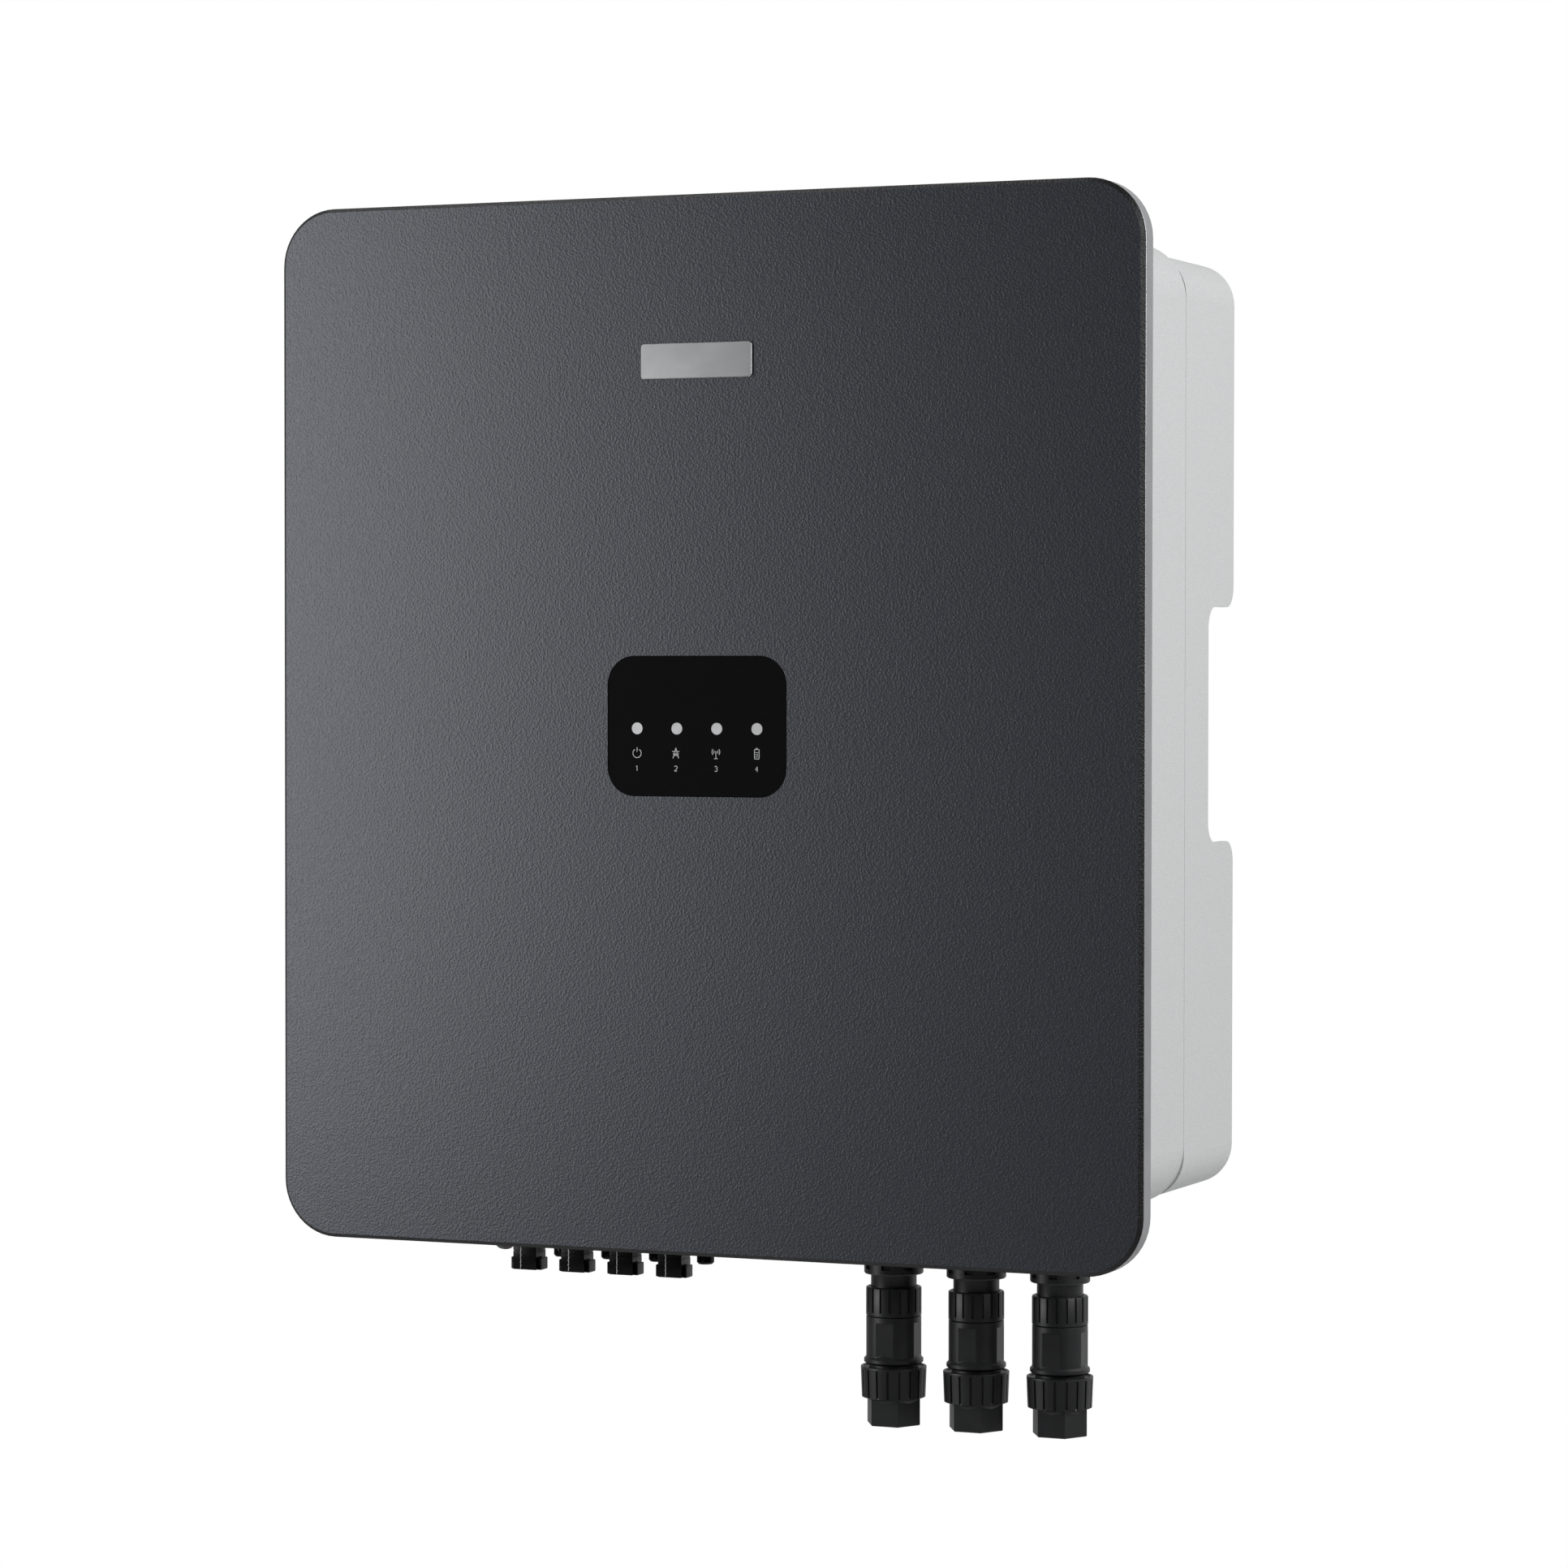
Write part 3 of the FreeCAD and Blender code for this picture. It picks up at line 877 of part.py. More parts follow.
def boards():
    """Power board on posts, its modules, capacitors, relays and sensors, and the control board."""
    middle = f"{POWER_FOOT} + power_height / 2"
    power_front = f"{POWER_FACE} - board_thick"
    node("power_board", box("power_board", ("power_width", "board_thick", "power_height"),
                            ("-power_width / 2", power_front, f"{middle} - power_height / 2")))
    posts = [rod(f"post_{k}_{n}", "standoff_radius", "power_gap",
                 (f"{sx}(power_width / 2 - standoff_inset)", POWER_FACE,
                  f"{middle} {sz} (power_height / 2 - standoff_inset)"), "y")
             for k, sx in enumerate(("-", "")) for n, sz in enumerate("-+")]
    control_z = f"{POWER_FOOT} + control_rise"
    control_back = f"{power_front} - control_gap"
    posts += [rod(f"control_post_{k}_{n}", "standoff_radius", "control_gap",
                  (f"control_x {sx} (control_width / 2 - standoff_inset)", control_back,
                   f"{control_z} {sz} (control_height / 2 - standoff_inset)"), "y")
              for k, sx in enumerate("-+") for n, sz in enumerate("-+")]
    node("board_standoffs", group("board_standoffs", posts))
    node("control_board", box("control_board", ("control_width", "board_thick", "control_height"),
                              ("control_x - control_width / 2", f"{control_back} - board_thick",
                               f"{control_z} - control_height / 2")))
    node("power_modules", group("power_modules", [
        box(f"module_{k}", ("module_width", "module_thick", "module_height"),
            (f"{x} - module_width / 2", f"{INNER_BACK} - module_thick",
             f"{POWER_FOOT} + module_rise - module_height / 2"))
        for k, x in enumerate(row("0", "module_pitch", "module_count"))]))
    node("dc_link_capacitors", group("dc_link_capacitors", [
        rod(f"capacitor_{k}_{n}", "capacitor_radius", "capacitor_length",
            (f"-power_width / 2 + capacitor_side + {k} * capacitor_pitch",
             f"{power_front} - capacitor_length",
             f"{POWER_TOP} - capacitor_drop + {n} * capacitor_pitch"), "y")
        for k in range(SIZES["capacitor_columns"]) for n in range(SIZES["capacitor_rows"])]))
    node("grid_relays", group("grid_relays", [
        box(f"relay_{k}_{n}", ("relay_width", "relay_depth", "relay_height"),
            (f"power_width / 2 - relay_side + {k} * relay_pitch", f"{power_front} - relay_depth",
             f"{POWER_TOP} - relay_drop - {n} * relay_pitch"))
        for k in range(SIZES["relay_columns"]) for n in range(SIZES["relay_rows"])]))
    sensors = []
    for k in range(SIZES["sensor_count"]):
        x = f"power_width / 2 - sensor_side + {k} * sensor_pitch"
        z = f"{POWER_FOOT} + sensor_rise"
        block = box(f"sensor_{k}_block", ("sensor_width", "sensor_depth", "sensor_width"),
                    (x, f"{power_front} - sensor_depth", z))
        hole = rod(f"sensor_{k}_hole", "sensor_bore", "sensor_width + 2 * over",
                   (f"{x} + sensor_width / 2", f"{power_front} - sensor_depth / 2", f"{z} - over"))
        sensors.append(cut(f"sensor_{k}", block, hole))
    node("current_sensors", group("current_sensors", sensors))


def magnetics():
    """Potted boost inductors and wound output chokes, all bolted to the housing's back."""
    node("boost_inductors", group("boost_inductors", [
        box(f"boost_{k}", ("boost_width", "boost_depth", "boost_height"),
            (f"-housing_width / 2 + boost_side + {k} * boost_pitch", f"{INNER_BACK} - boost_depth",
             f"{UNDERSIDE} + boost_rise - boost_height / 2")) for k in range(SIZES["boost_count"])]))
    chokes = []
    for k in range(SIZES["choke_count"]):
        place = (f"housing_width / 2 - choke_side - {k} * choke_pitch",
                 f"{INNER_BACK} - choke_depth", f"{UNDERSIDE} + choke_rise")
        chokes.append(cut(f"choke_{k}", rod(f"choke_{k}_ring", "choke_radius", "choke_depth", place, "y"),
                          rod(f"choke_{k}_hole", "choke_bore", "choke_depth - choke_seat", place, "y")))
    node("filter_inductors", group("filter_inductors", chokes))


def write_parts():
    """Check every object, then write each piece to a file of its own."""
    doc.recompute()
    failed = [thing.Label for thing in doc.Objects
              if {"Invalid", "Error"} & set(thing.State)]
    failed += [thing.Label for thing in NODES
               if thing.Shape.isNull() or not thing.Shape.isValid()]
    if failed:
        raise RuntimeError("failed: " + ", ".join(sorted(set(failed))))
    os.makedirs("parts", exist_ok=True)
    for thing in NODES:
        thing.Shape.exportStep(f"parts/{thing.Label}.step")


front_cover()
housing()
shroud()
heat_sink()
wall_hanging()
dc_switch()
dc_connectors()
ac_connectors()
small_ports()
boards()
magnetics()
write_parts()
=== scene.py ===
"""Finish and detail a wall-hung string inverter around its fixed CAD frame."""

import json
import math
from collections.abc import Callable, Iterable, Sequence
from dataclasses import dataclass, field
from enum import Enum

import bmesh
import bpy
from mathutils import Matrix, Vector

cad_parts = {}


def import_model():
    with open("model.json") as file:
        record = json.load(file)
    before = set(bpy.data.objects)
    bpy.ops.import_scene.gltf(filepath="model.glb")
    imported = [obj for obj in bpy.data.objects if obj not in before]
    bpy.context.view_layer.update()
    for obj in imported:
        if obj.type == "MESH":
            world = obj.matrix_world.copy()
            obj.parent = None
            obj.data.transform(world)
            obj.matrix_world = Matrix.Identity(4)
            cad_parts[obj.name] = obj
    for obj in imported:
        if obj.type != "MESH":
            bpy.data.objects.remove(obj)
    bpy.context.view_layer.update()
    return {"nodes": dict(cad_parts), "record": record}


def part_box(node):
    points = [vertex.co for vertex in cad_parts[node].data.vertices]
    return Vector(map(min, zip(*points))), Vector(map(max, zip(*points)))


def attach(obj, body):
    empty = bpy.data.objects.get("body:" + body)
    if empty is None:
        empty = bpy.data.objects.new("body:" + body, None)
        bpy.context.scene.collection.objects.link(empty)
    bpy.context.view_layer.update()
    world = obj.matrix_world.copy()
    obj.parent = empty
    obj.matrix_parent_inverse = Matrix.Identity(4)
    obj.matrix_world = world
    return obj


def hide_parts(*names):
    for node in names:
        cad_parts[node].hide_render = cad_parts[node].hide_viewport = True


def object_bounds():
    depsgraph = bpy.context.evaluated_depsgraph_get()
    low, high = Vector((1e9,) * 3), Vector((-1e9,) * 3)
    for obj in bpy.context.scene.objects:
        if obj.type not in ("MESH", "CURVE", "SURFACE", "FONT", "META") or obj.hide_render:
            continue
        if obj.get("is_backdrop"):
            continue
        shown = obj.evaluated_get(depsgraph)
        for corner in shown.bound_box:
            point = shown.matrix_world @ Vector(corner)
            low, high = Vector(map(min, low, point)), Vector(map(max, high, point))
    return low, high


MM = 0.001
RAMP_START, RAMP_END = 0.3, 0.7

Colour = tuple[float, float, float]
Point = tuple[float, float, float]
Ring = list[Point]


class Body(Enum):
    """The groups that the detailed pieces move with, apart from the rings and the nuts."""

    INVERTER = "inverter"
    KNOB = "dc_knob"


# ----------------------------------------------------------------------------- finishes


class Nodes:
    """A small helper that wires one material's shader nodes."""

    def __init__(self, name: str) -> None:
        """Start a material.

        Args:
            name: The material's name.
        """
        self.material = bpy.data.materials.new(name)
        self.material.use_nodes = True
        self.tree = self.material.node_tree
        self.tree.nodes.clear()
        self.output = self.tree.nodes.new("ShaderNodeOutputMaterial")
        self.shader = self.tree.nodes.new("ShaderNodeBsdfPrincipled")
        self.link(self.shader.outputs["BSDF"], self.output.inputs["Surface"])
        self.place = self.tree.nodes.new("ShaderNodeTexCoord").outputs["Object"]

    def link(self, source: bpy.types.NodeSocket, target: bpy.types.NodeSocket) -> None:
        """Join two sockets.

        Args:
            source: The socket that gives.
            target: The socket that takes.
        """
        self.tree.links.new(source, target)

    def set(self, **values: float | tuple[float, ...]) -> None:
        """Set constants on the surface shader.

        Args:
            **values: Socket names, with _ for a space, and their values.
        """
        for name, value in values.items():
            self.shader.inputs[name.replace("_", " ")].default_value = value

    def stretched(self, factors: Point) -> bpy.types.NodeSocket:
        """Scale the surface's place unevenly, as for a brushed direction.

        Args:
            factors: The scale along X, Y and Z.

        Returns:
            The scaled place.
        """
        mapping = self.tree.nodes.new("ShaderNodeMapping")
        mapping.inputs["Scale"].default_value = factors
        self.link(self.place, mapping.inputs["Vector"])
        return mapping.outputs["Vector"]

    def noise(self, size: float, detail: float = 2.0, rough: float = 0.5,
              place: bpy.types.NodeSocket | None = None) -> bpy.types.NodeSocket:
        """A noise field.

        Args:
            size: The rough size of one bump, in metres.
            detail: The octaves of finer noise.
            rough: How strong the finer noise is.
            place: Where the noise is read, or nothing for the surface itself.

        Returns:
            The noise, from 0 to 1.
        """
        node = self.tree.nodes.new("ShaderNodeTexNoise")
        node.inputs["Scale"].default_value = 1.0 / size
        node.inputs["Detail"].default_value = detail
        node.inputs["Roughness"].default_value = rough
        self.link(place or self.place, node.inputs["Vector"])
        return node.outputs["Fac"]

    def ramp(self, source: bpy.types.NodeSocket, first: Colour,
             last: Colour) -> bpy.types.NodeSocket:
        """Turn a field into a colour between two colours.

        Args:
            source: The field.
            first: The first colour.
            last: The last colour.

        Returns:
            The colour.
        """
        node = self.tree.nodes.new("ShaderNodeValToRGB")
        ends = node.color_ramp.elements
        ends[0].position, ends[1].position = RAMP_START, RAMP_END
        ends[0].color, ends[1].color = (*first, 1.0), (*last, 1.0)
        self.link(source, node.inputs["Fac"])
        return node.outputs["Color"]

    def span(self, source: bpy.types.NodeSocket, low: float, high: float) -> bpy.types.NodeSocket:
        """Stretch a 0 to 1 field to a range.

        Args:
            source: The field.
            low: The value at 0.
            high: The value at 1.

        Returns:
            The stretched field.
        """
        node = self.tree.nodes.new("ShaderNodeMapRange")
        node.inputs["To Min"].default_value = low
        node.inputs["To Max"].default_value = high
        self.link(source, node.inputs["Value"])
        return node.outputs["Result"]

    def paint(self, field: bpy.types.NodeSocket, colour: Colour, dark: float, light: float) -> None:
        """Colour the surface, darker and lighter by turns.

        Args:
            field: The field that it varies with.
            colour: The middle colour.
            dark: The factor for its darkest parts.
            light: The factor for its lightest parts.
        """
        self.link(self.ramp(field, shade(colour, dark), shade(colour, light)),
                  self.shader.inputs["Base Color"])

    def roughen(self, field: bpy.types.NodeSocket, low: float, high: float) -> None:
        """Make the surface smoother and rougher by turns.

        Args:
            field: The field that it varies with.
            low: The roughness where the field is 0.
            high: The roughness where the field is 1.
        """
        self.link(self.span(field, low, high), self.shader.inputs["Roughness"])

    def facing_front(self, limit: float) -> bpy.types.NodeSocket:
        """A mask of the surface that faces the front squarely.

        Args:
            limit: The least share of the normal that points to the front.

        Returns:
            1 on the front, 0 on its edges, which are given painted shade.
        """
        parts = self.tree.nodes.new("ShaderNodeSeparateXYZ")
        normal = self.tree.nodes.new("ShaderNodeTexCoord").outputs["Normal"]
        self.link(normal, parts.inputs["Vector"])
        mask = self.tree.nodes.new("ShaderNodeMath")
        mask.operation = "LESS_THAN"
        mask.inputs[1].default_value = -limit
        self.link(parts.outputs["Y"], mask.inputs[0])
        return mask.outputs["Value"]

    def mixed(self, share: bpy.types.NodeSocket, first: tuple[float, ...],
              last: bpy.types.NodeSocket) -> bpy.types.NodeSocket:
        """Go from a fixed colour to another field.

        Args:
            share: How much of the field shows.
            first: The fixed colour.
            last: The field.

        Returns:
            The mixed colour.
        """
        mix = self.tree.nodes.new("ShaderNodeMix")
        mix.data_type = "RGBA"
        mix.inputs["A"].default_value = first
        self.link(share, mix.inputs["Factor"])
        self.link(last, mix.inputs["B"])
        return mix.outputs["Result"]

    def bump(self, source: bpy.types.NodeSocket, height: float, strength: float = 1.0,
             under: bpy.types.NodeSocket | None = None) -> bpy.types.NodeSocket:
        """Raise a field as fine relief.

        Args:
            source: The field.
            height: The relief's height, in metres.
            strength: How much of it shows.
            under: Relief that this one lies on.

        Returns:
            The relief's normal, which also goes to the surface shader.
        """
        node = self.tree.nodes.new("ShaderNodeBump")
        node.inputs["Distance"].default_value = height
        node.inputs["Strength"].default_value = strength
        self.link(source, node.inputs["Height"])
        if under:
            self.link(under, node.inputs["Normal"])
        self.link(node.outputs["Normal"], self.shader.inputs["Normal"])
        return node.outputs["Normal"]


def shade(colour: Colour, factor: float) -> Colour:
    """A colour made lighter or darker.

    Args:
        colour: The colour.
        factor: What it is multiplied by.

    Returns:
        The new colour.
    """
    return tuple(min(1.0, part * factor) for part in colour)


@dataclass(frozen=True)
class GrainedPaint:
    """Dark paint over a fine leather-like grain, with painted shade: every face that doesn't face
    the front squarely, such as the bevels and sides, is coloured nearly black.
    """

    name: str
    colour: Colour
    grain: float = 0.0011
    height: float = 0.0003
    roughness: float = 0.46
    mottle: float = 0.24
    # The nearly black colour painted on the bevels and sides as painted shade.
    edge: Colour = (0.0012, 0.0013, 0.0018)
    facing: float = 0.97
    shine: float = 0.34
    smoothness: float = 0.6

    def material(self) -> bpy.types.Material:
        """Build the paint's material."""
        nodes = Nodes(self.name)
        cells = nodes.tree.nodes.new("ShaderNodeTexVoronoi")
        cells.feature = "SMOOTH_F1"
        cells.inputs["Scale"].default_value = 1.0 / self.grain
        cells.inputs["Smoothness"].default_value = self.smoothness
        nodes.link(nodes.place, cells.inputs["Vector"])
        fine = nodes.noise(self.grain * 0.55, 3.0, 0.6)
        tint = nodes.ramp(fine, shade(self.colour, 1 - self.mottle),
                          shade(self.colour, 1 + self.mottle))
        # Painted shade: faces that don't face the front squarely take the nearly black edge colour
        # in place of the grained paint.
        front = nodes.facing_front(self.facing)
        nodes.link(nodes.mixed(front, (*self.edge, 1.0), tint), nodes.shader.inputs["Base Color"])
        nodes.roughen(fine, self.roughness - 0.06, self.roughness + 0.08)
        nodes.set(Specular_IOR_Level=self.shine)
        relief = nodes.bump(cells.outputs["Distance"], self.height, 0.75)
        nodes.bump(fine, self.height * 0.5, 0.6, relief)
        return nodes.material


@dataclass(frozen=True)
class PowderCoat:
    """Metallic powder coating with a faint orange peel and speckle."""

    name: str
    colour: Colour
    speckle: float = 0.0006
    peel: float = 0.0022
    peel_height: float = 0.00005
    speckle_height: float = 0.00001
    roughness: float = 0.42
    metal: float = 0.25
    darkest: float = 0.82
    lightest: float = 1.12

    def material(self) -> bpy.types.Material:
        """Build the coating's material."""
        nodes = Nodes(self.name)
        flakes = nodes.noise(self.speckle, 1.0)
        nodes.paint(flakes, self.colour, self.darkest, self.lightest)
        nodes.roughen(flakes, self.roughness - 0.08, self.roughness + 0.08)
        nodes.set(Metallic=self.metal, Specular_IOR_Level=0.5)
        peel = nodes.bump(nodes.noise(self.peel), self.peel_height, 0.5)
        nodes.bump(flakes, self.speckle_height, 0.6, peel)
        return nodes.material


class Brush(Enum):
    """The way a metal's fine lines run."""

    ACROSS = (0.02, 1.0, 1.0)
    UPRIGHT = (1.0, 1.0, 0.02)
    NONE = (1.0, 1.0, 1.0)


@dataclass(frozen=True)
class Metal:
    """Bare or plated metal with fine lines."""

    name: str
    colour: Colour
    roughness: float = 0.3
    brush: Brush = Brush.NONE
    line: float = 0.00035
    height: float = 0.000008
    stain: float = 0.08
    stain_size: float = 0.02

    def material(self) -> bpy.types.Material:
        """Build the metal's material."""
        nodes = Nodes(self.name)
        lines = nodes.noise(self.line, 3.0, 0.6, nodes.stretched(self.brush.value))
        clouds = nodes.noise(self.stain_size, 3.0)
        nodes.paint(clouds, self.colour, 1 - self.stain, 1 + self.stain)
        nodes.roughen(lines, self.roughness - 0.07, self.roughness + 0.09)
        nodes.set(Metallic=1.0)
        nodes.bump(lines, self.height, 0.5)
        return nodes.material


@dataclass(frozen=True)
class Moulding:
    """Moulded plastic or rubber with a fine spark-eroded texture."""

    name: str
    colour: Colour
    roughness: float = 0.42
    texture: float = 0.0005
    height: float = 0.000016
    wear: float = 0.25
    shine: float = 0.45
    wear_size: float = 0.012

    def material(self) -> bpy.types.Material:
        """Build the moulding's material."""
        nodes = Nodes(self.name)
        fine = nodes.noise(self.texture, 3.0, 0.6)
        broad = nodes.noise(self.wear_size)
        nodes.paint(broad, self.colour, 1 - self.wear, 1 + self.wear)
        nodes.roughen(fine, self.roughness - 0.08, self.roughness + 0.12)
        nodes.set(Specular_IOR_Level=self.shine)
        nodes.bump(fine, self.height, 0.5)
        return nodes.material


@dataclass(frozen=True)
class Gloss:
    """A smooth glossy surface with a clear coat."""

    name: str
    colour: Colour
    roughness: float = 0.06
    coat: float = 1.0
    haze_size: float = 0.006

    def material(self) -> bpy.types.Material:
        """Build the gloss material."""
        nodes = Nodes(self.name)
        haze = nodes.noise(self.haze_size)
        nodes.paint(haze, self.colour, 0.94, 1.05)
        nodes.roughen(haze, self.roughness * 0.8, self.roughness * 1.3)
        nodes.set(Coat_Weight=self.coat, Coat_Roughness=0.03)
        return nodes.material


@dataclass(frozen=True)
class Board:
    """A circuit board with faint copper tracks under its solder resist."""

    name: str
    colour: Colour
    pitch: float = 0.004
    track: float = 0.00002

    def material(self) -> bpy.types.Material:
        """Build the board's material."""
        nodes = Nodes(self.name)
        brick = nodes.tree.nodes.new("ShaderNodeTexBrick")
        brick.inputs["Scale"].default_value = 1.0 / (self.pitch * 8)
        brick.inputs["Color1"].default_value = (*self.colour, 1.0)
        brick.inputs["Color2"].default_value = (*shade(self.colour, 1.25), 1.0)
        brick.inputs["Mortar"].default_value = (*shade(self.colour, 1.8), 1.0)
        nodes.link(nodes.place, brick.inputs["Vector"])
        nodes.link(brick.outputs["Color"], nodes.shader.inputs["Base Color"])
        nodes.set(Roughness=0.35)
        nodes.bump(brick.outputs["Fac"], self.track, 0.5)
        return nodes.material


FINISHES: dict[str, GrainedPaint | PowderCoat | Metal | Moulding | Gloss | Board] = {
    "panel_paint": GrainedPaint("grained_dark_paint", (0.0325, 0.035, 0.045)),
    "lid_metal": Metal("satin_lid_metal", (0.34, 0.345, 0.355), 0.34),
    "window_gloss": Gloss("black_window", (0.0035, 0.0035, 0.004)),
    "light_pipe": Gloss("frosted_lamp", (0.46, 0.465, 0.47), 0.4, 0.0),
    "badge_metal": Metal("brushed_badge", (0.325, 0.33, 0.335), 0.40, Brush.ACROSS),
    "housing_paint": PowderCoat("silver_powder_coat", (0.58, 0.585, 0.59)),
    "shroud_paint": PowderCoat("silver_powder_coat_rear", (0.58, 0.585, 0.59)),
    "raw_aluminium": Metal("extruded_aluminium", (0.60, 0.61, 0.62), 0.36, Brush.UPRIGHT),
    "galvanised_steel": Metal("galvanised_sheet", (0.50, 0.51, 0.52), 0.42, Brush.NONE, 0.006,
                              0.00002, 0.18),
    "screw_steel": Metal("zinc_screws", (0.55, 0.55, 0.54), 0.26),
    "seal_rubber": Moulding("seal_rubber", (0.02, 0.02, 0.02), 0.6, 0.0008),
    "black_plastic": Moulding("black_moulding", (0.0108, 0.0114, 0.0124), 0.40),
    "deep_black": Moulding("deep_black_moulding", (0.0014, 0.0014, 0.0015), 0.22, shine=0.2),
    # A light grey painted highlight for the seam ridge on the black plus blocks.
    "seam_painted_highlight": Moulding("seam_painted_highlight", (0.62, 0.62, 0.62), 0.5),
    "switch_plastic": Moulding("grey_moulding", (0.06, 0.06, 0.065), 0.45),
    "shaft_steel": Metal("turned_steel", (0.5, 0.5, 0.5), 0.25),
    "circuit_board": Board("solder_resist", (0.015, 0.10, 0.04)),
    "module_plastic": Moulding("black_module", (0.03, 0.03, 0.032), 0.5),
    "capacitor_sleeve": Gloss("capacitor_sleeve", (0.02, 0.035, 0.09), 0.25, 0.3),
    "potting": Moulding("potting_resin", (0.04, 0.04, 0.043), 0.35, 0.002),
    "winding": Metal("enamelled_winding", (0.55, 0.24, 0.09), 0.28, Brush.UPRIGHT, 0.001, 0.0002),
}


class Paintshop:
    """Makes each finish once and puts it on pieces by the record's slot."""

    def __init__(self, record: dict) -> None:
        """Read which slot each CAD node takes.

        Args:
            record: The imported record.
        """
        self.slots: dict[str, str] = {part["node"]: part["material_slot"]
                                      for part in record["subparts"]}
        self.made: dict[str, bpy.types.Material] = {}

    def finish(self, slot: str) -> bpy.types.Material:
        """The material of a slot.

        Args:
            slot: The slot's name.

        Returns:
            The material.
        """
        if slot not in self.made:
            self.made[slot] = FINISHES[slot].material()
        return self.made[slot]

    def dress(self, thing: bpy.types.Object, slot: str) -> None:
        """Give a thing the finish of a slot.

        Args:
            thing: The object.
            slot: The slot's name.
        """
        thing.data.materials.clear()
        thing.data.materials.append(self.finish(slot))

    def dress_frame(self, nodes: dict[str, bpy.types.Object]) -> None:
        """Give every CAD node its finish.

        Args:
            nodes: The CAD nodes by name.
        """
        for name, thing in nodes.items():
            self.dress(thing, self.slots[name])


# ----------------------------------------------------------------------------- mesh tools


Rule = Callable[[float, float], float]


def plain(theta: float, radius: float) -> float:
    """A round cross-section.

    Args:
        theta: The direction about the axis.
        radius: The station's radius.

    Returns:
        The radius unchanged.
    """
    return radius


def aside(theta: float) -> float:
    """How far a direction is from the first one.

    Args:
        theta: The direction.

    Returns:
        The angle, from 0 to half a turn.
    """
    return abs((theta + math.pi) % math.tau - math.pi)


@dataclass(frozen=True)
class Comb:
    """Even grooves round an axis, with sloping flanks."""

    count: int
    width: float
    depth: float
    flank: float = 0.02
    turn: float = 0.0

    def marks(self) -> list[float]:
        """The directions where a flank starts or ends."""
        half = self.width / 2
        edges = (-half - self.flank, -half, half, half + self.flank)
        return [(self.turn + math.tau * k / self.count + edge) % math.tau
                for k in range(self.count) for edge in edges]

    def rule(self, theta: float, radius: float) -> float:
        """Cut the grooves into a round section.

        Args:
            theta: The direction about the axis.
            radius: The radius outside the grooves.

        Returns:
            The radius in that direction.
        """
        pitch = math.tau / self.count
        off = aside((theta - self.turn) % pitch * self.count) / self.count
        share = (self.width / 2 + self.flank - off) / self.flank
        return radius - self.depth * min(1.0, max(0.0, share))


@dataclass(frozen=True)
class Facets:
    """Flats round an axis, each at the same distance from it."""

    count: int
    reach: float
    turn: float = 0.0

    def marks(self) -> list[float]:
        """The directions of the corners, where neighbouring flats would meet."""
        return [(self.turn + math.tau * (k + 0.5) / self.count) % math.tau
                for k in range(self.count)]

    def distance(self, theta: float) -> float:
        """How far the flats are from the axis in a direction.

        Args:
            theta: The direction about the axis.

        Returns:
            The distance to the flat there.
        """
        pitch = math.tau / self.count
        off = aside((theta - self.turn) % pitch * self.count) / self.count
        return self.reach / math.cos(off)

    def shaved(self, theta: float, radius: float) -> float:
        """A round section with the flats cut into it.

        Args:
            theta: The direction about the axis.
            radius: The round section's radius.

        Returns:
            The smaller of the two.
        """
        return min(radius, self.distance(theta))

    def standing(self, theta: float, radius: float) -> float:
        """A faceted bar that stands out of a round section.

        Args:
            theta: The direction about the axis.
            radius: The round section's radius.

        Returns:
            The larger of the two.
        """
        return max(radius, self.distance(theta))


def directions(steps: int, *marked: Comb | Facets) -> list[float]:
    """Directions round an axis that hit every groove edge and corner.

    Args:
        steps: How many even directions there are besides.
        *marked: The grooves and flats whose edges must be hit.

    Returns:
        The directions in order.
    """
    digits, closest = 5, 2e-3
    every = sorted({round(math.tau * k / steps, digits) for k in range(steps)}
                   | {round(mark, digits) for item in marked for mark in item.marks()})
    kept = [every[0]]
    for theta in every[1:]:
        if theta - kept[-1] > closest:
            kept.append(theta)
    return kept


@dataclass(frozen=True)
class Station:
    """One ring of a turned piece, in millimetres."""

    radius: float
    height: float
    rule: Rule = plain

    def ring(self, thetas: Sequence[float]) -> Ring:
        """The ring's points about the Z axis.

        Args:
            thetas: The directions of the points.

        Returns:
            The points.
        """
        reach = [self.rule(theta, self.radius) for theta in thetas]
        return [(far * math.cos(theta), far * math.sin(theta), self.height)
                for theta, far in zip(thetas, reach)]


def rounded(half_x: float, half_y: float, corner: float, height: float, steps: int = 7,
            shift: tuple[float, float] = (0.0, 0.0)) -> Ring:
    """A level ring in the shape of a rectangle with rounded corners.

    Args:
        half_x: Half its length along X.
        half_y: Half its length along Y.
        corner: Its corner radius.
        height: Its height.
        steps: The steps round each corner.
        shift: Where its middle is along X and Y.

    Returns:
        The points, starting at the +X side.
    """
    points: Ring = []
    for quarter in range(4):
        sign_x, sign_y = ((1, 1), (-1, 1), (-1, -1), (1, -1))[quarter]
        middle_x, middle_y = sign_x * (half_x - corner), sign_y * (half_y - corner)
        for k in range(steps + 1):
            theta = math.pi / 2 * (quarter + k / steps)
            points.append((shift[0] + middle_x + corner * math.cos(theta),
                           shift[1] + middle_y + corner * math.sin(theta), height))
    return points


def circle_like(ring: Ring, radius: float, height: float) -> Ring:
    """A round ring whose points face the same ways as another ring's.

    Args:
        ring: The other ring.
        radius: The round ring's radius.
        height: Its height.

    Returns:
        The round ring.
    """
    out: Ring = []
    for k in range(len(ring)):
        theta = math.tau * (k + 0.5) / len(ring)
        out.append((radius * math.cos(theta), radius * math.sin(theta), height))
    return out


